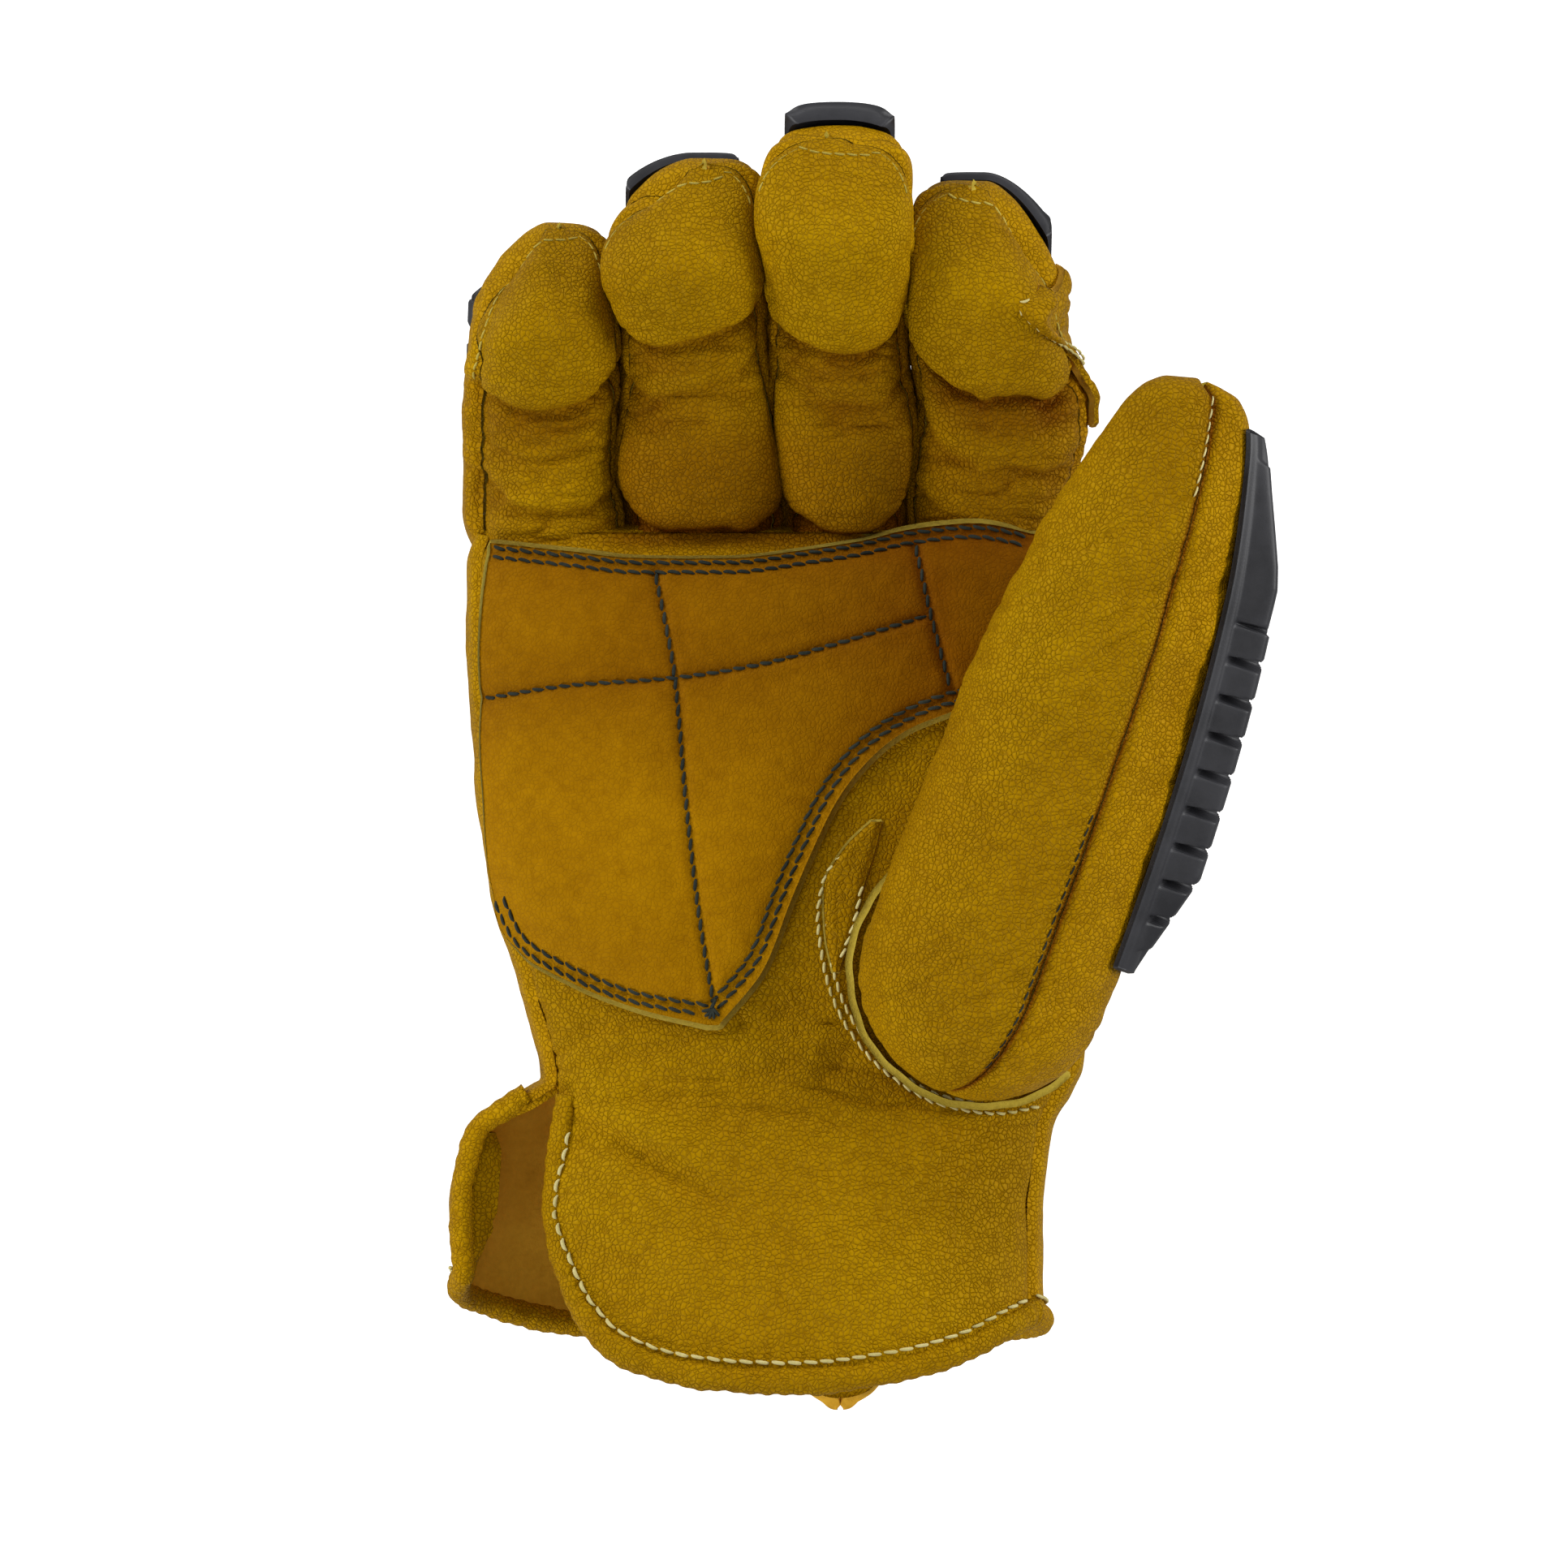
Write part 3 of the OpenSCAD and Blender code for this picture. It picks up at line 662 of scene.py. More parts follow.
top_seam = [(x, patch_top(x)) for x in np.arange(-65.5, 33, 3.0)]
bottom_seam = [(-64.5, -24.1), (-60.6, -31.4), (-51.9, -36.9), (-38.9, -41.8), (-26.4, -43.9)]
thumb_seam = [(-25.8, -43.2), (-18.6, -34.2), (-14.2, -22.9), (-9.9, -12.8), (-5.5, -4.1), (0.3, 3.2),
              (7.5, 8.3), (15.5, 11.6), (22, 13)]
quilt_upright = [(-36.3, 34.2), (-32.8, 15.5), (-30.9, -5.5), (-28.4, -27.3), (-25.9, -42.6)]
quilt_level = [(-66.8, 11.9), (-51.9, 14.1), (-32.8, 15.5), (-18.6, 17.7), (-2.6, 22), (12.6, 26.8)]
quilt_thumb = [(10.2, 39.2), (12.9, 26.8), (16.5, 13.3)]
quilting = [quilt_upright, quilt_level, quilt_thumb]


def fine_line(points, spacing=0.5):
    """A smooth line in X and Y through a few points."""
    points = np.array(points, float)
    s = along_path(points)
    at = np.arange(0, s[-1], spacing)
    x, y = curve(*zip(s, points[:, 0])), curve(*zip(s, points[:, 1]))
    return np.stack([x(at), y(at)], axis=1)


def offset_line(line, distance):
    along = unit(np.gradient(line, axis=0))
    return line + distance * np.stack([-along[:, 1], along[:, 0]], axis=1)


def line_distance(x, y, lines):
    """How far each point is from the nearest of the lines."""
    nearest = np.full(x.shape, 1e9)
    for line in lines:
        for q in fine_line(line, 1.2):
            nearest = np.minimum(nearest, (x - q[0]) ** 2 + (y - q[1]) ** 2)
    return np.sqrt(nearest)


def patch_relief(x, y):
    """The patch is pulled down along its stitches, and a little padded between them."""
    seams = line_distance(x, y, [top_seam, bottom_seam, thumb_seam])
    quilts = line_distance(x, y, quilting)
    near = np.minimum(seams, quilts)
    p = np.stack([x, y, np.zeros_like(x)], axis=-1)
    puff = 0.55 * smooth(near, 0, 9)
    pucker = 0.16 * bell(near, 2.2, 1.7) * noise(p, 3.1, 41)
    return puff - 0.75 * bell(quilts, 0, 1.0) - 0.5 * bell(seams, 0, 1.5) + pucker + undulation(p, 0.22, 8)


def patch_point(xy, above=0.0):
    x, y = xy[..., 0], xy[..., 1]
    return palm_point(x, y, -PATCH_LIFT - patch_relief(x, y) - above)


def palm_patch():
    rows = np.arange(PATCH_LOW, PATCH_HIGH, STEP)
    t = np.linspace(0, 1, 190)
    x = patch_right(rows)[:, None] * (1 - t) + patch_left(rows)[:, None] * t
    y = np.repeat(rows[:, None], len(t), axis=1)
    # The rows above this line are squeezed, so that the last one follows the curved top edge.
    line = 28
    squeeze = (patch_top(x) + EDGE_MARGIN - line) / (PATCH_HIGH - line)
    y = np.where(y > line, line + (y - line) * squeeze, y)
    outer = palm_point(x, y, -PATCH_LIFT)
    # Painted shade: the patch turns darker towards its top under the fingers, and more so towards the thumb
    # above its middle.
    hollow_shade = -0.95 * smooth(y, -36, 26) - 0.45 * smooth(x, -14, 14) * smooth(y, -24, 0)
    piece = sheet_piece("palm_patch", [
        dict(outer=outer, relief=patch_relief(x, y), shade=hollow_shade, bulge=0.75)], PATCH_SET)
    settle(piece, "hand", replaces=["palm_patch"])


def seam_on(surface, lines):
    """Stitch lines for the surface: each a path of points and the surface's normals along it."""
    made = []
    for line in lines:
        ahead = unit(np.gradient(line, axis=0))
        aside = np.stack([-ahead[:, 1], ahead[:, 0]], axis=1)
        here = surface(line)
        along, across = surface(line + 0.3 * ahead), surface(line + 0.3 * aside)
        made.append((here, unit(np.cross(along - here, across - here))))
    return made


def patch_thread():
    lines = [fine_line(line) for line in quilting]
    for line in (top_seam, bottom_seam, thumb_seam):
        middle = fine_line(line)
        lines += [offset_line(middle, ROW_GAP / 2), offset_line(middle, -ROW_GAP / 2)]
    rows = seam_on(patch_point, lines)
    # The threads end in a small knot where the seams meet.
    knot = patch_point(np.array([[-26.2, -43.6]]), 0.5)[0]
    up = np.array([0, 0, 1.0])
    for turn in (200, 235, 262, 290, 325, 75):
        reach = np.array([math.cos(rad(turn)), math.sin(rad(turn)), 0.12])
        ends = knot + np.linspace(-0.5, 3.1, 24)[:, None] * reach
        rows.append((ends, np.tile(up, (24, 1))))
    piece = stitches("patch_thread", rows, BLACK_THREAD, radius=0.33, pitch=2.5, slant=0.2, fill=7)
    settle(piece, "hand", replaces=["patch_thread"])


# ---- Around the thumb's root ----

root_seam = [(2.5, -11.3), (-2.6, -15.7), (-6.2, -20.7), (-7.3, -27.3), (-6.4, -35), (-4.3, -42.5),
             (0.1, -50), (6.1, -56), (14.8, -60.8), (25, -62.4), (33, -61.2)]
leaf_seam = [(0.6, -21.5), (-0.8, -28), (-3.3, -35)]
leaf_left = curve((-37, -4.6), (-30, -6), (-22, -6.3), (-15, -2.6), (-10, 2.4))
leaf_right = curve((-37, -3.6), (-30, -1.2), (-22, 0.8), (-15, 3), (-10, 4.2))


def palm_surface(above=0.0):
    """The finished palm as a function of X and Y, a little above the leather."""
    def at(xy):
        p = palm_point(xy[..., 0], xy[..., 1], -above)
        return p + palm_relief(p)[..., None] * (0, 0, 1)
    return at


def thumb_gusset():
    rows = np.arange(-37, -10, 0.4)
    t = np.linspace(0, 1, 26)
    x = leaf_right(rows)[:, None] * (1 - t) + leaf_left(rows)[:, None] * t
    outer = palm_surface(LEATHER)(np.stack([x, rows[:, None] + 0 * x], axis=-1))
    relief = undulation(outer, 0.2, 13) - 0.6 * bell(edge_distance(outer), 0, 0.8)
    piece = sheet_piece("thumb_gusset", [dict(outer=outer, relief=relief)], LEATHER_SET)
    settle(piece, "hand", replaces=["thumb_gusset"])


def thumb_thread():
    outer = fine_line(root_seam)
    rows = seam_on(palm_surface(0.25), [outer, offset_line(outer, 1.5)])
    rows += seam_on(palm_surface(LEATHER + 0.1), [fine_line(leaf_seam)])
    piece = stitches("thumb_thread", rows, CREAM_THREAD, radius=0.29, pitch=2.3, slant=0.2)
    settle(piece, "hand", replaces=["thumb_thread"])


def thumb_welt():
    """The strip's cut edge stands up round the thumb's root, and wavers a little."""
    turn = rad(np.arange(132, 310, 0.8))
    radius = 23.45 + 0.1 * np.sin(turn * 9) + 0.08 * np.sin(turn * 23)
    x, y = radius * np.cos(turn), radius * np.sin(turn)
    top = palm_point(THUMB_X + x, THUMB_Y + y)[:, 2:]
    foot = np.maximum(np.minimum(48.5, top + 3.6) - 5, 34)
    t = np.linspace(0, 1, 9)
    z = foot + (np.minimum(48.5, top + 3.6) - foot) * t
    x, y = THUMB_ROOT[0] + x[:, None], THUMB_ROOT[1] + y[:, None]
    outer = np.stack(np.broadcast_arrays(x, y, z), axis=-1)
    piece = sheet_piece("thumb_welt", [dict(outer=outer[::-1], thickness=1.3)], [GOLD, GOLD, CUT_EDGE])
    settle(piece, "hand", replaces=["thumb_welt"])


# ---- Cuff: bindings, stitches, elastic and tab ----

ROLL = 2.45     # half the width of the rolled edge
ROLL_SIDES = 20


def roll(name, path, normal, materials, replaces):
    path, normal = resample(path, normal, 0.7)
    for _ in range(3):
        path[1:-1] = (path[:-2] + 2 * path[1:-1] + path[2:]) / 4
        normal = unit(normal)
    ahead = unit(np.gradient(path, axis=0))
    across = unit(np.cross(normal, ahead))
    up = unit(np.cross(ahead, across))
    # Each stitch pinches the roll slightly, and the fold is never quite even.
    s = np.arange(len(path)) * 0.7
    swell = 1 + 0.05 * np.cos(2 * np.pi * s / PITCH) + 0.09 * noise(path, 8, 17)
    radii = np.stack([ROLL * swell, ROLL * 0.82 * swell], axis=1)
    points, faces = tube_parts(path, across, up, radii, sides=ROLL_SIDES)
    wobble = 0.12 * noise(points, 1.7, 19) + 0.22 * noise(points, 4.3, 23)
    centre = np.repeat(path, ROLL_SIDES, axis=0)
    points = points + unit(points - centre) * wobble[:, None]
    # The roll's unevenness also goes into the wear values, so its dips are darker and its bumps lighter,
    # partly wear and partly painted shade.
    piece = mesh_object(name, points, faces, materials, wear_and_shade=wobble)
    return settle(piece, "hand", replaces=replaces)


def outward(path):
    y = path[:, 1] - SHIFT[1]
    centre = np.stack([trunk_at[0](y) + SHIFT[0], path[:, 1], trunk_at[2](y)], axis=1)
    return unit(path - centre)


def hem_edge(hem, angles, vent_angle, flare):
    """A cuff's edge, from the far side of its hem round to the top of the vent."""
    hem_part = trunk_point(hem(angles) + ROLL, angles, 0.6, flare)
    y = np.arange(hem(vent_angle) + ROLL + 1.5, VENT_TOP + 1, 0.7)
    vent_part = trunk_point(y, np.full_like(y, vent_angle), 0.6, flare)
    return np.concatenate([hem_part, vent_part])


def front_cuff_binding():
    path = hem_edge(front_hem, np.linspace(SEAM_RIGHT - 2, FRONT_VENT, 260), FRONT_VENT, 0.0)
    roll("front_cuff_binding", path, outward(path), [GOLD], ["front_cuff_binding"])


def back_cuff_binding():
    path = hem_edge(back_hem, np.linspace(380, BACK_VENT, 400), BACK_VENT, 1.0)
    roll("back_cuff_binding", path, outward(path), [GOLD_BACK_RIM_LIT], ["back_cuff_binding"])
    # The allowance turned in along the vent, with its ragged cut edge showing.
    y = np.arange(-92, -66, 0.45)
    t = np.linspace(0, 1, 16)
    ragged = 0.8 * noise(np.stack([y, 0 * y, 0 * y], axis=1), 1.9, 29)
    ends = smooth(-y, 63, 72) * smooth(y, -93, -80)
    reach = 1.2 + ((4.6 + ragged) * ends)[:, None] * t
    rim = trunk_point(y, np.full_like(y, 167.0), 1.4, 1.0)[:, None]
    outer = rim + reach[..., None] * (1, 0, 0) - (0.5 + 1.4 * t ** 2)[:, None] * (0, 0, 1)
    piece = sheet_piece("vent_allowance", [
        dict(outer=outer[::-1], relief=undulation(outer, 0.4, 30)[::-1], thickness=1.1)], BACK_SET)
    settle(piece, "hand")


def cuff_thread():
    inset = 2 * ROLL + 0.9
    degree = 0.6     # how far one degree reaches where the vent is
    angle = np.linspace(SEAM_RIGHT + 4, FRONT_VENT, 300)
    hem = np.stack([angle * degree, front_hem(angle) + ROLL], axis=1)
    y = np.arange(front_hem(FRONT_VENT) + ROLL + 1.5, VENT_TOP - 3, 0.7)
    vent = np.stack([np.full_like(y, FRONT_VENT * degree), y], axis=1)
    line = offset_line(fine_line(np.concatenate([hem, vent])), inset - ROLL)
    path = trunk_point(line[:, 1], line[:, 0] / degree, -0.25)
    path = path + outward(path) * (palm_relief(path) + 0.1)[:, None]
    back_angle = np.linspace(378, 172, 300)
    back = trunk_point(back_hem(back_angle) + inset, back_angle, -0.25, 1.0)
    back = back + outward(back) * back_relief(back)[:, None]
    rows = [(line, outward(line)) for line in (path, back)]
    piece = stitches("cuff_thread", rows, CREAM_THREAD, radius=0.36)
    settle(piece, "hand", replaces=["cuff_thread"])


def wrist_elastic():
    y = np.linspace(-57, -50, 16)
    angle = np.linspace(218, 322, 240)
    # It lies clear of the folds that it gathers.
    outer = trunk_point(y[:, None] + 0 * angle, angle + 0 * y[:, None], LEATHER + 3.3)
    ribs = 0.25 * np.cos(2 * np.pi * np.arange(16) / 3)[:, None] + 0.35 * np.sin(angle * 2.1)
    piece = sheet_piece("wrist_elastic", [dict(outer=outer, relief=ribs, thickness=1.1)], [ELASTIC] * 3)
    settle(piece, "hand", replaces=["wrist_elastic"])


def pull_tab():
    lo, hi = [np.array(c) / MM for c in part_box("pull_tab")]
    root_y = hi[1] + 5
    middle = (lo[0] + hi[0]) / 2
    sagitta = hi[1] - lo[1]
    turn = np.linspace(0, np.pi / 2, 36)
    y = np.concatenate([np.linspace(root_y, hi[1], 8)[:-1], hi[1] - sagitta * np.sin(turn)])
    half = np.concatenate([np.full(7, 8.0), np.maximum(0.6, 8.0 * np.cos(turn) ** 0.8)])
    half = half + 0.35 * noise(np.stack([y, 0 * y, 0 * y], axis=1), 1.7, 34)
    t = np.linspace(-1, 1, 30)
    x = middle + half[:, None] * t
    z = hi[2] + 0.9 * smooth(y, hi[1], root_y)[:, None] + 0.25 * t ** 2
    outer = np.stack([x, y[:, None] + 0 * x, z + 0 * x], axis=-1)
    piece = sheet_piece("pull_tab", [dict(outer=outer, relief=undulation(outer, 0.3, 33), thickness=2.2)],
                        [GOLD, GOLD, SUEDE])
    root = JOINT["pull_tab_bend"]
    settle(piece, replaces=["pull_tab"], blend=(
        "hand", "pull_tab", tuple((root + (0, 1.5, 0)) * MM), tuple((root - (0, 1.5, 0)) * MM)))


# ---- Fingers ----

DEPTH = 13.2        # half the depth of a finger
TIP = 13.0          # length of its rounded end
TAIL = 10.0         # how far it reaches back under the palm

# half width, length, where the leather ends and the lift at the root and the tip; how much the left and
# the right corner of the tip are cut away; how shaded the root is; how far down its left and its right
# side the fingertip's stitches run; how far the back shows beside the front; where the folds are, how
# much the pad above each swells and how far its fold drops to the right; and how each side swells out
FINGERS = {
    "little": dict(
        half=11.9, length=57, skin=56, lift=(4, 34.3), slant=(9, 0), shade=0.25, sewn=(22, 6), ledge=3.0,
        folds=[(6, 1.1, 1.0), (17, 0.5, -3), (27, 2.6, -1.5)],
        left=curve((-10, 0), (10, 0.3), (30, 0.2), (43, -1.2), (57, -2.0)),
        right=curve((-10, 0.3), (3, 2.2), (14, 0.3), (29, 1.3), (42, 0), (49, -1.4), (57, -2.4))),
    "ring": dict(
        half=13.3, length=69, skin=68.5, lift=(5, 41.3), slant=(6, -1), shade=1.0, sewn=(5, 5), ledge=0,
        folds=[(2, 3.2, 0.5), (31, 0.7, -5), (42, 3.0, -3.5)],
        left=curve((-10, 0), (3, -2.4), (14, -0.4), (31, -1.2), (43, -0.3), (52, 1.3), (60, 2.4),
                   (69, 2.6)),
        right=curve((-10, 0), (6, 3.6), (27, 0.7), (40, 0), (52, 0), (60, -1.8), (69, -2.4))),
    "middle": dict(
        half=12.6, length=79, skin=75.5, lift=(5, 47.5), slant=(0, 1), shade=0.9, sewn=(5, 5), ledge=0,
        folds=[(2, 3.2, 0), (29, 0.5, 3), (40, 3.2, 0)],
        left=curve((-10, 0), (6, -3.3), (27, -0.4), (40, 0.4), (52, 0.4), (64, 2.2), (79, 2.6)),
        right=curve((-10, 0), (8, -0.9), (25, 1.0), (40, -0.9), (65, -0.4), (79, -0.3))),
    "index": dict(
        half=13.1, length=65, skin=64, lift=(4, 39.6), slant=(-1, 13), shade=0.5, sewn=(5, 26), ledge=0,
        folds=[(4, 0.5, 2), (15, 0.7, 4.5), (30, 3.4, 4)],
        left=curve((-10, 0), (8, 1.2), (25, -0.6), (40, 1.3), (60, 0.7), (65, 0.7)),
        right=curve((-10, 0), (8, 2.5), (18, 5.5), (26, 5.6), (34, 2.4), (46, -0.6), (56, -1.5), (65, -2))),
}
# Where the pieces of a finger begin and end, in degrees round it.
FRONT = (25.6, 154.4)
GUSSET_LEFT = (156, 204.4)
GUSSET_RIGHT = (335.6, 384)
BACK = (206, 334)
SQUARE = 0.78       # how boxy a finger is; 1 would be round


def finger_point(name, s, a, k=0.0, reach=None):
    """A point on a finger, s along it and at the angle a round it, k inside its surface."""
    f = FINGERS[name]
    length, (lift0, lift1) = f["length"], f["lift"]
    skin = reach or f["skin"]
    lift = rad(lift0 + (lift1 - lift0) / length * np.maximum(s, 0))
    arc = length / rad(lift1 - lift0)
    y = np.where(s < 0, s * math.cos(rad(lift0)), arc * (np.sin(lift) - math.sin(rad(lift0))))
    z = np.where(s < 0, s * math.sin(rad(lift0)), arc * (math.cos(rad(lift0)) - np.cos(lift)))
    q = np.clip((s - skin + TIP) / TIP, 0, 0.9995)
    taper = 1 - 0.02 * np.clip(s, 0, length) / length
    wide = f["half"] * taper * (1 - q ** 6) ** (1 / 3)
    # The depth runs out a hair before the end, so that the two sides meet there.
    deep = DEPTH * taper * (1 - np.clip(q * 1.0006, 0, 1) ** 2.1) ** 0.5
    c, sn = np.cos(rad(a)), np.sin(rad(a))
    side = np.where(c < 0, f["left"](s), f["right"](s)) * (1 - q ** 6) * np.abs(c) ** 0.9 * np.sign(c)
    side = side * smooth(sn, -0.35, 0.3)
    # The back piece shows beside the front one where it wraps round an outer side.
    ledge = f["ledge"] * smooth(-sn, -0.52, -0.2)
    ledge = ledge * smooth(s, -7, 5) * (1 - 0.5 * smooth(s, 20, skin)) * (1 - q ** 3)
    side = side + np.where(c < 0, -ledge, 0) * np.abs(c) ** 0.6
    u = np.maximum(0.2, wide + 0.2 + 0.6 * (1 - smooth(sn, -0.35, 0.3)) - k) * spow(c, SQUARE) + side
    v = np.maximum(0.05, deep - k) * spow(sn, SQUARE)
    # The tip's end lies towards the back, so the palm side wraps over it.
    v = v - 4.5 * q ** 2
    cut = np.where(c < 0, f["slant"][0], f["slant"][1]) * smooth(s, skin - 34, skin) * np.abs(c) ** 1.3
    root = JOINT[name + "_finger_curl"]
    return np.stack(np.broadcast_arrays(
        root[0] + u, root[1] + y - v * np.sin(lift) - cut, root[2] + z + v * np.cos(lift)), axis=-1)


def finger_rows(name):
    straight = FINGERS[name]["skin"] - TIP
    return np.concatenate([np.arange(-TAIL, straight, STEP * 0.8),
                           straight + TIP * np.sin(np.linspace(0, np.pi / 2, 44))])


def finger_relief(name, s, a, p):
    """The pads bulge over the folds below them, more on the palm side."""
    f = FINGERS[name]
    c = np.cos(rad(a))
    palm = np.clip(np.sin(rad(a)) * 1.25, 0, 1) ** 0.6
    # A fold sags in the middle of the finger and may run askew across it.
    waver = 1.8 * noise(p * (1, 0, 0) + len(name), 6, 81) + 0.5 * noise(p * (1, 0, 0), 2.2, 82)
    places = [spot + 6.5 * c ** 2 - tilt * c + waver for spot, _, tilt in f["folds"]] + [f["skin"] + 7]
    relief = 0
    swells = [swell for _, swell, _ in f["folds"]]
    for low, high, swell in zip(places[:-1], places[1:], swells):
        t = np.clip((s - low) / (high - low), 0, 1)
        relief = relief + swell * 2.0 * t ** 0.36 * (1 - t) ** 1.05
        relief = relief - 0.42 * swell * bell(s, low - 0.9, 1.5)
        fine = creases(p, (9, 2.1, 4.0), int(swell * 10) + 3, 0.5)
        relief = relief + 0.8 * fine * (bell(s, low - 3.5, 5) + 0.45 * bell(s, low + 5, 4))
    relief = relief * palm * (1 - smooth(s, f["skin"] - 10, f["skin"]) * 0.9)
    relief = relief - 1.3 * (1 - smooth(s, -3, 1.5)) * palm
    back = 1 - np.clip(np.sin(rad(a)) + 0.2, 0, 1)
    knuckles = 0.35 * creases(p, (16, 3.4, 5), 43, 0.35) * back * (bell(s, 24, 8) + bell(s, 48, 7))
    pad = 0.16 * creases(p, (8, 3.4, 6), 44, 0.5) * smooth(s, 34, 46) * palm
    return relief + knuckles + pad + undulation(p, 0.3, len(name))


def finger_shade(name, s, a):
    """The finger's root lies deep in the hand's hollow, and each fold hides the light above it."""
    f = FINGERS[name]
    c = np.cos(rad(a))
    front = np.clip(np.sin(rad(a)) + 0.3, 0, 1)
    hollow_shade = 1.5 * f["shade"] * (1 - smooth(s, 16, 44))
    under = sum(0.35 * swell * bell(s, spot + 6.5 * c ** 2 - tilt * c - 4, 4.5)
                for spot, swell, tilt in f["folds"])
    return -(hollow_shade + 0.6 * under) * front


def finger_sheet(name, span):
    s = finger_rows(name)[:, None]
    arc = rad(span[1] - span[0]) * DEPTH
    # At the fingertip the front panel takes over the whole width from the pieces beside it.
    spread = 19 * smooth(s, FINGERS[name]["skin"] - 17, FINGERS[name]["skin"] - 5)
    low = span[0] + spread * {FRONT[0]: -1, GUSSET_LEFT[0]: 1}.get(span[0], 0)
    high = span[1] + spread * {FRONT[1]: 1, GUSSET_RIGHT[1]: -1}.get(span[1], 0)
    a = low + (high - low) * np.linspace(0, 1, max(14, int(arc / (STEP * 0.8))))[None, :]
    s = s + 0 * a
    outer = finger_point(name, s, a)
    relief = finger_relief(name, s, a, outer) - 0.8 * bell(edge_distance(outer), 0, 1.0)
    # The pieces meet in one line at the very tip.
    relief = relief * (1 - smooth(s, FINGERS[name]["skin"] - 1.6, FINGERS[name]["skin"] - 0.1))
    return dict(outer=outer, relief=relief, shade=finger_shade(name, s, a))


def finger_skins(name):
    body = name + "_finger"
    root = JOINT[name + "_finger_curl"]
    bend = ("hand", body, tuple((root + (0, -4, 0)) * MM), tuple((root + (0, 9, 0)) * MM))
    back = BACK
    gussets = [GUSSET_LEFT, GUSSET_RIGHT]
    if name == "little":
        back, gussets = (GUSSET_LEFT[0], BACK[1]), [GUSSET_RIGHT]
    if name == "index":
        back, gussets = (BACK[0], GUSSET_RIGHT[1]), [GUSSET_LEFT]
    gusset_node = body + ("_gussets" if len(gussets) == 2 else "_gusset")
    front = sheet_piece(body + "_front", [finger_sheet(name, FRONT)], LEATHER_SET)
    settle(front, blend=bend, replaces=[body + "_front"])
    rear = sheet_piece(body + "_back", [finger_sheet(name, back)], BACK_SET)
    settle(rear, blend=bend, replaces=[body + "_back"])
    sides = sheet_piece(gusset_node, [finger_sheet(name, span) for span in gussets], BACK_SET)
    settle(sides, blend=bend, replaces=[gusset_node])


def finger_surface(name, s, a):
    """A point on the finger's finished leather, for what is sewn to it."""
    p = finger_point(name, s, a)
    n = unit(p - finger_point(name, s, a, 1.0))
    return p + n * finger_relief(name, s, a, p)[..., None]


def finger_thread():
    """The seam across each fingertip, and down the side it runs on to."""
    for name, f in FINGERS.items():
        edge = f["skin"] - 0.35
        left = np.linspace(edge - f["sewn"][0], edge, 2 + f["sewn"][0] * 2)
        right = np.linspace(edge, edge - f["sewn"][1], 2 + f["sewn"][1] * 2)
        s = np.concatenate([left, np.full(60, edge), right])
        a = np.concatenate([np.full_like(left, 156), np.linspace(156, 24, 60), np.full_like(right, 24)])
        path = finger_surface(name, s, a)
        up = unit(path - finger_point(name, s, a, 3.0))
        piece = stitches(
            name + "_finger_thread", [(path, up)], SEAM_THREAD, radius=0.24, pitch=2.2, sink=0.1)
        settle(piece, name + "_finger")


GUARD_GAP = 0.5
# How far each guard is turned round its finger, and how far short of the fingertip it stops.
GUARD_TURN = {"little": -19, "ring": -9, "middle": 0, "index": 10}
GUARD_SHORT = {"little": 12, "ring": 3.6, "middle": 3.6, "index": 3.6}


def finger_guard(name):
    """A flange with three bevelled blocks, moulded in one piece."""
    length = FINGERS[name]["length"]
    first = 0.26 * length
    last = length - GUARD_SHORT[name]
    pitch = (last - first - 3) / 3
    s = np.arange(first, last, 0.4)[:, None]
    a = np.linspace(232, 308, 80)[None, :]
    s, a = s + 0 * a, a + 0 * s
    ribs = 0
    for i in range(3):
        low = first + 1.8 + pitch * i
        block = plateau(s, low, low + pitch - 1.6, 1.6) * plateau(a, 239, 301, 9)
        # Each block has a sloping facet at either side of its middle.
        facet = 1 - 0.22 * smooth(np.abs(a - 270), 9, 12)
        ribs = np.maximum(ribs, block * facet)
    a = a + GUARD_TURN[name]
    rounded = 1 - bell(edge_distance(finger_point(name, s, a)), 0, 0.9) * 0.6
    height = 1.8 * rounded + 3.8 * ribs
    inner = finger_point(name, s, a, -GUARD_GAP, FINGERS[name]["skin"] + 1)
    outer = finger_point(name, s, a, -GUARD_GAP - height, length + 2)
    piece = sheet_piece(name + "_finger_guard", [dict(outer=outer, inner=inner)], [RUBBER] * 3)
    settle(piece, name + "_finger", replaces=[name + "_finger_guard"])


def hood_edge(s):
    """How far round the index finger its doubled strip reaches, furthest beside the fingertip."""
    return 16 + 24 * smooth(s, 30, 50) + 38 * bell(s, 53.5, 5.5)


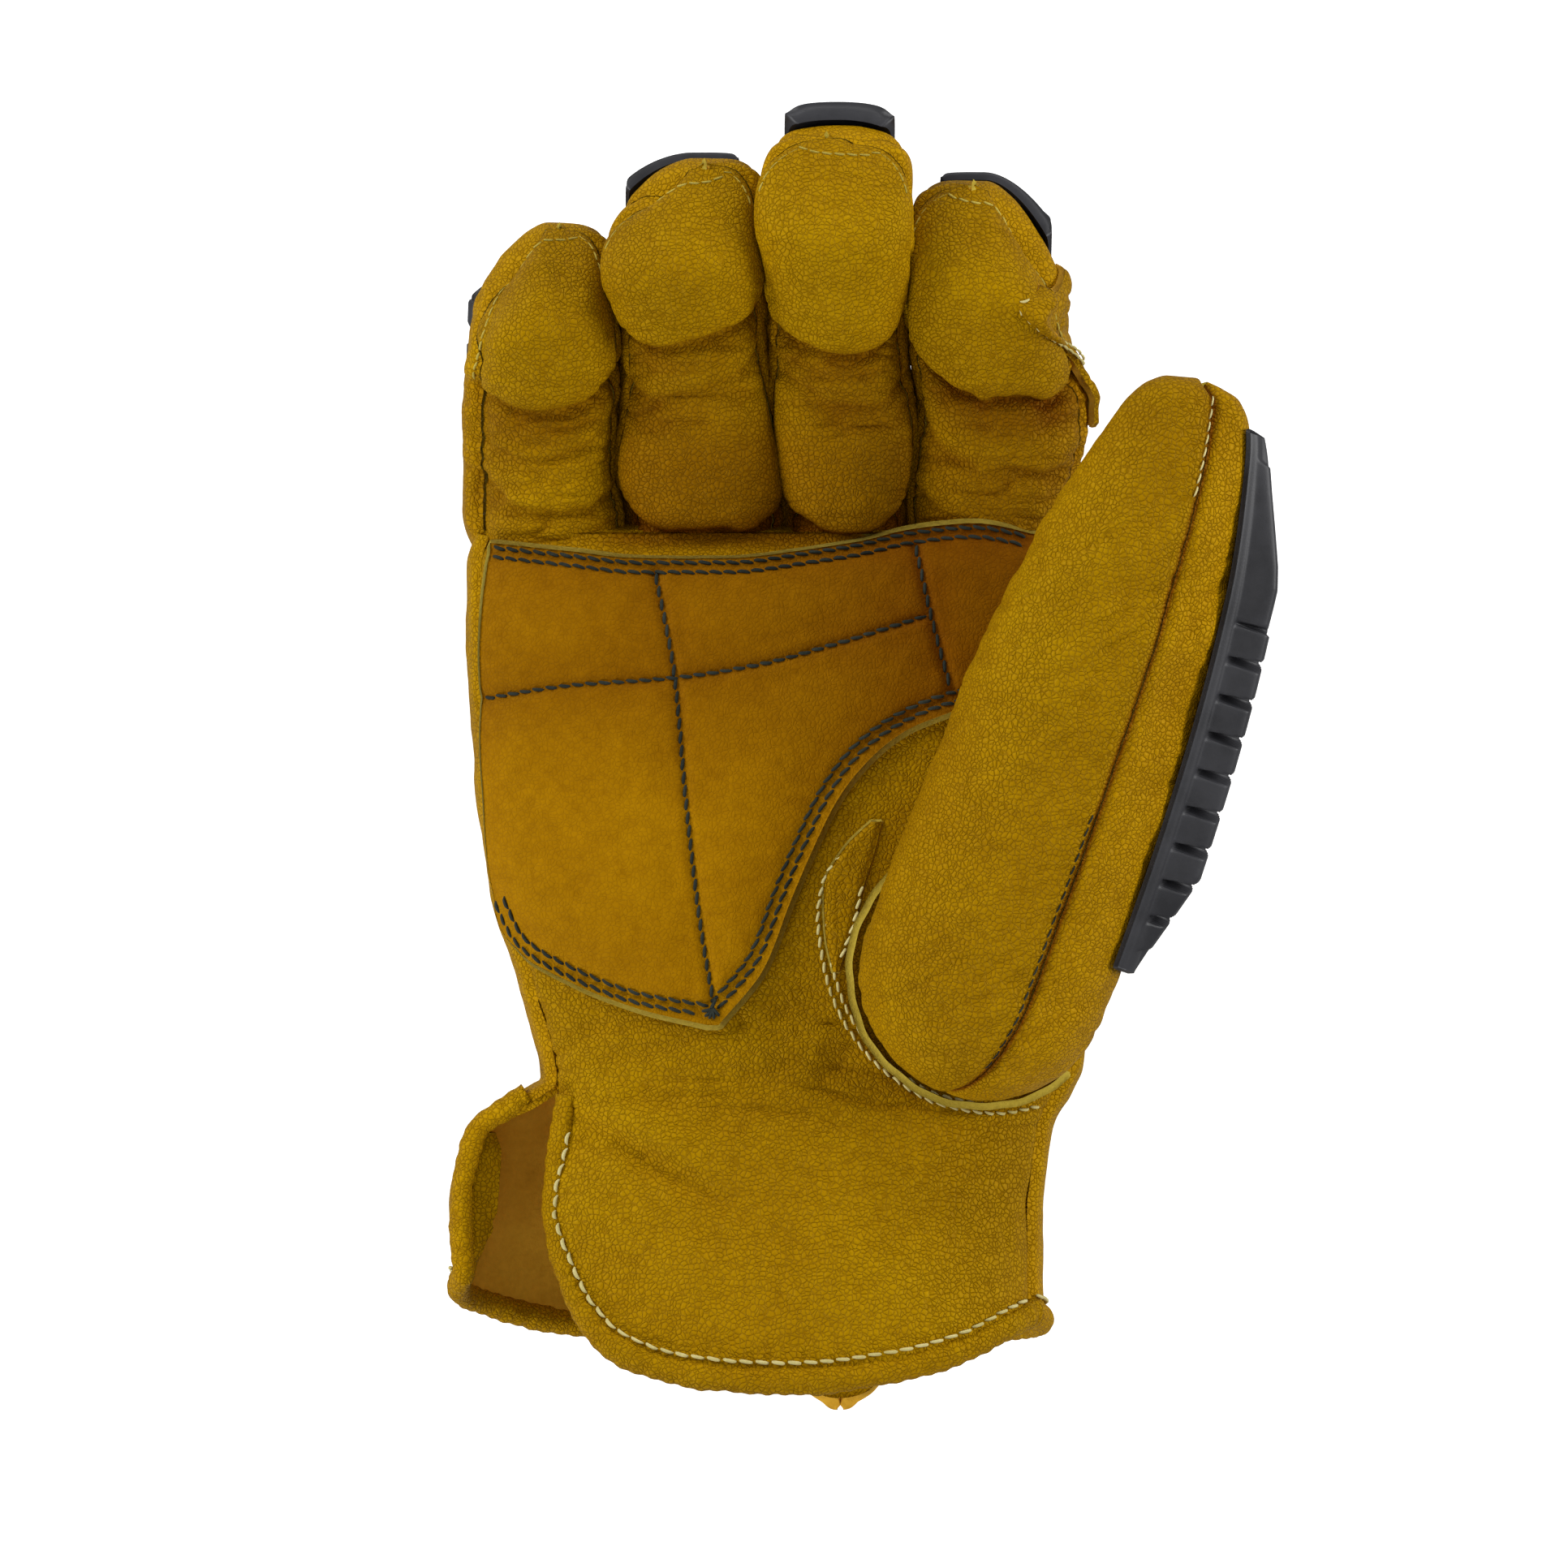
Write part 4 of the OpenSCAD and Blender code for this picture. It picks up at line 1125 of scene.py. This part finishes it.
def index_reinforcement():
    """A doubled strip on the thumb side of the index finger, its cut edge ruffled."""
    length = FINGERS["index"]["length"]
    s = np.linspace(22, length - 4.5, 170)[:, None]
    t = np.linspace(0, 1, 60)[None, :]
    along = np.stack([s[:, 0], 0 * s[:, 0], 0 * s[:, 0]], axis=1)
    ruffle = 5 * noise(along, 2.9, 51)[:, None] + 3 * noise(along, 1.2, 52)[:, None]
    first = -26 + ruffle
    last = hood_edge(s)
    a = first + t * (last - first)
    s = s + 0 * t
    # The outer edge stands off the finger in small waves; the inner one is folded under.
    wave = (0.5 + 0.5 * np.sin(s / 1.5 + 1.5 * np.sin(s / 4))) * (1 - smooth(t, 0, 0.5))
    lift = 1.3 + 1.1 * wave + (1.0 + 2.2 * bell(s, 53.5, 7)) * bell(t, 0.85, 0.14)
    outer = finger_point("index", s, a, -lift)
    relief = undulation(outer, 0.5, 52) + 0.35 * creases(outer, (3, 3, 6), 53, 0.5)
    relief = relief - 0.5 * bell(edge_distance(outer), 0, 0.9)
    # Painted shade darkens the strip along its ruffled outer edge.
    piece = sheet_piece("index_reinforcement", [
        dict(outer=outer, relief=relief, bulge=0.7, thickness=1.2, shade=-0.5 * (1 - smooth(t, 0, 0.3)))],
        [GOLD, SUEDE, SUEDE])
    settle(piece, "index_finger", replaces=["index_reinforcement"])
    rows = []
    for shift in (5, 13):
        at = np.linspace(34, length - 7, 80)
        angle = hood_edge(at) - shift
        path = finger_point("index", at, angle, -2.5)
        up = unit(path - finger_point("index", at, angle, 1.0))
        rows.append((path, up))
    thread = stitches("reinforcement_thread", rows, CREAM_THREAD, radius=0.26, pitch=2.4)
    settle(thread, "index_finger")


# ---- Thumb ----

THUMB_LENGTH = 113
THUMB_R = 22.6
THUMB_DEEP = 16.0
THUMB_LEAN, THUMB_RISE = rad(19.9), rad(9.2)
thumb_wide = curve((0, 1), (0.2, 0.99), (0.4, 0.95), (0.68, 0.81), (0.87, 0.60), (0.95, 0.46),
                   (0.985, 0.31), (1, 0.05))
thumb_deep = curve((0, 1), (0.4, 1), (0.68, 0.84), (0.87, 0.6), (0.95, 0.43), (0.985, 0.26), (1, 0.04))
THUMB_SEAM = 66      # the thumb's two seams, in degrees round it
THUMB_UNDER = 250


def thumb_point(s, a, k=0.0):
    q = np.maximum(0, s / THUMB_LENGTH)
    root = np.where(s < 0, np.sqrt(np.clip(1 - (s / THUMB_R) ** 2, 0, 1)), 1)
    c, sn = np.cos(rad(a)), np.sin(rad(a))
    low = (1 - smooth(s, 0, 45)) * np.clip(-sn, 0, 1)
    e = 1 - 0.3 * low
    u = np.maximum(0.3, THUMB_R * root * thumb_wide(q) - k) * spow(c, e)
    v = np.maximum(0.3, THUMB_DEEP * root ** 0.8 * thumb_deep(q) - k) * spow(sn, e)
    along = s * np.where(s < 0, 1, math.cos(THUMB_RISE))
    up = np.where(s < 0, 0, s * math.sin(THUMB_RISE))
    return np.stack(np.broadcast_arrays(
        along * math.sin(THUMB_LEAN) + u * math.cos(THUMB_LEAN),
        along * math.cos(THUMB_LEAN) - u * math.sin(THUMB_LEAN), up + v), axis=-1) + THUMB_ROOT


def thumb_rows():
    tip = THUMB_LENGTH * 0.88
    return np.concatenate([
        -THUMB_R * np.cos(np.linspace(0.02, np.pi / 2, 64))[:-1], np.arange(0, tip, STEP),
        tip + (THUMB_LENGTH - tip) * np.sin(np.linspace(0.03, np.pi / 2, 44))])


def thumb_relief(s, a, p):
    pad = 1.3 * bell(s, 62, 26) * bell(a, 110, 60) - 0.9 * bell(s, 26, 17) * bell(a, 120, 60)
    pad = pad - 0.8 * bell(s, 55, 38) * bell(a, 88, 9)
    turned = np.stack([p[..., 0] + 0.9 * p[..., 1], p[..., 1] - 0.6 * p[..., 0], p[..., 2]], axis=-1)
    bunch = 1.3 * creases(turned, (24, 7, 20), 61, 0.5) * bell(s, 60, 20) * bell(a, 40, 26)
    fine = 0.5 * creases(turned, (16, 2.8, 12), 63, 0.5) * (bell(s, 72, 18) + 0.8 * bell(s, -4, 12))
    fine = fine + 0.32 * creases(p, (7, 2.2, 7), 64, 0.5) * (0.5 + 0.5 * noise(p, 25, 65))
    pinch = -1.1 * bell(s, THUMB_LENGTH - 6, 7) * bell(a, THUMB_SEAM, 22)
    return pad + bunch + fine + pinch + undulation(p, 0.4, 14)


def thumb_sheet(low, high):
    s = thumb_rows()[:, None]
    a = np.linspace(low, high, 150)[None, :]
    s, a = s + 0 * a, a + 0 * s
    outer = thumb_point(s, a)
    edge = edge_distance(outer)
    relief = thumb_relief(s, a, outer) - 0.9 * bell(edge, 0, 1.1)
    # Painted shade darkens the leather along its edges, in the seams' grooves.
    return dict(outer=outer, relief=relief, shade=-1.6 * bell(edge, 0, 0.55))


def thumb_skins():
    front = sheet_piece("thumb_front", [thumb_sheet(THUMB_SEAM + 0.3, THUMB_UNDER - 0.3)], LEATHER_SET)
    settle(front, "thumb", replaces=["thumb_front"])
    back = sheet_piece("thumb_back", [thumb_sheet(THUMB_UNDER - 359.7, THUMB_SEAM - 0.3)], BACK_SET)
    settle(back, "thumb", replaces=["thumb_back"])
    # The seam's thread shows only as small dark dashes low down and light ones at the tip.
    for name, low, high, thread, slot in (
            ("thumb_seam_thread", -16, 34, BLACK_THREAD, "black_thread"),
            ("thumb_tip_thread", 92, 111, CREAM_THREAD, "cream_thread")):
        s = np.linspace(low, high, 60)
        a = np.full(60, THUMB_SEAM + 3.0)
        p = thumb_point(s, a)
        up = unit(p - thumb_point(s, a, 2.0))
        p = p + up * (thumb_relief(s, a, p)[:, None] - 0.25)
        piece = stitches(name, [(p, up)], thread, radius=0.17, pitch=2.4)
        settle(piece, "thumb")


GUARD_FROM, GUARD_TO = 9, 107
RIB_PITCH, RIB_COUNT = 6.9, 9


def thumb_guard():
    """A long flange, a faceted block at the tip end and ribs with slots between them."""
    s = np.arange(GUARD_FROM, GUARD_TO, 0.3)[:, None]
    a = np.linspace(-40, 26, 100)[None, :]
    s, a = s + 0 * a, a + 0 * s
    swelling = np.clip(np.minimum((s - GUARD_FROM) / 20, (GUARD_TO + 5 - s) / 30), 0, 1)
    blocks = 0
    for i in range(RIB_COUNT):
        low = GUARD_FROM + 3 + RIB_PITCH * i
        blocks = np.maximum(blocks, plateau(s + 0.09 * (a - 26), low, low + RIB_PITCH - 1.1, 0.45))
    tip_from = GUARD_FROM + 3 + RIB_PITCH * RIB_COUNT
    blocks = np.maximum(blocks, plateau(s, tip_from, GUARD_TO - 4, 1.0))
    facet = 1 - 0.1 * np.clip(np.abs(s - (tip_from + 12)) / 12, 0, 1) * (s > tip_from)
    rounded = 1 - 0.55 * bell(edge_distance(thumb_point(s, a)), 0, 0.9)
    # The slots run out before they reach the outer rim.
    blocks = np.maximum(blocks, 0.88 * smooth(-a, -3, 4))
    height = 1.9 * rounded + 5.6 * swelling * blocks * facet * plateau(a, -31, 20, 9)
    outer, inner = thumb_point(s, a, -GUARD_GAP - height), thumb_point(s, a, -GUARD_GAP)
    piece = sheet_piece("thumb_guard", [dict(outer=outer, inner=inner)], [RUBBER] * 3)
    settle(piece, "thumb", replaces=["thumb_guard"])


# ---- Knuckle guard and the wall between the fingers ----

PAD_ROWS = [(-24, -11), (-8, 4), (7, 19)]
PAD_COLUMNS = [(-52, -35), (-32, -16), (-13, 4), (7, 23)]
SHEET_X = (-55, 26)
SHEET_Y = (-27, 22)


def knuckle_guard():
    """A flexible sheet with twelve bevelled pads, whose flat tops the glove lies on."""
    y = np.arange(SHEET_Y[0], SHEET_Y[1] + 0.2, 0.45)[:, None]
    x = np.arange(SHEET_X[0], SHEET_X[1] + 0.2, 0.45)[None, :]
    x, y = x + 0 * y, y + 0 * x
    pads = 0
    for low_y, high_y in PAD_ROWS:
        for low_x, high_x in PAD_COLUMNS:
            pads = np.maximum(pads, plateau(x, low_x, high_x, 1.3) * plateau(y, low_y, high_y, 1.3))
    foot = palm_point(x, y, -0.6)
    mirrored = 2 * trunk_at[2](y) - foot[..., 2] - mouth_dip(x, y)
    rim = np.minimum(np.minimum(x - SHEET_X[0], SHEET_X[1] - x), np.minimum(y - SHEET_Y[0], SHEET_Y[1] - y))
    sheet = mirrored - 2.0 * (1 - 0.6 * bell(rim, 0, 0.9))
    # The pads run out flat at the lowest level; a shallow groove crosses each of them.
    groove = 0.7 * bell(np.mod(x + 3 * np.abs(np.mod(y, 15) - 7.5) / 7.5 + 60, 8.5) - 4.2, 0, 0.5)
    low = np.minimum(sheet, 0.02 + groove * (pads > 0.98))
    z = sheet * (1 - pads) + low * pads
    outer = np.stack([x + SHIFT[0], y + SHIFT[1], z], axis=-1)[::-1]
    inner = np.stack([x + SHIFT[0], y + SHIFT[1], mirrored], axis=-1)[::-1]
    piece = sheet_piece("knuckle_guard", [dict(outer=outer, inner=inner)], [RUBBER] * 3)
    settle(piece, "hand", replaces=["knuckle_guard"])


def finger_wall():
    """The leather that joins the palm to the back between the fingers' roots."""
    at = 41.0
    x = np.linspace(35, -67, 200)[None, :]
    t = np.linspace(0, 1, 44)[:, None]
    y = at + 2.4 * np.sin(np.pi * t) ** 0.7
    top = palm_point(x, at, 0.8)[..., 2]
    z = top * (1 - t) + (2 * trunk_at[2](at) - top - mouth_dip(x, at)) * t
    outer = np.stack([x + SHIFT[0] + 0 * t, y + SHIFT[1] + 0 * x, z], axis=-1)
    relief = undulation(outer, 0.5, 71)
    piece = sheet_piece("finger_wall", [dict(outer=outer, relief=relief)], BACK_SET)
    settle(piece, "hand")


# ---- Everything ----

studio()
palm_panel()
back_panel()
palm_patch()
patch_thread()
thumb_gusset()
thumb_welt()
thumb_thread()
front_cuff_binding()
back_cuff_binding()
cuff_thread()
wrist_elastic()
pull_tab()
knuckle_guard()
finger_wall()
for finger in FINGERS:
    finger_skins(finger)
    finger_guard(finger)
finger_thread()
index_reinforcement()
thumb_skins()
thumb_guard()
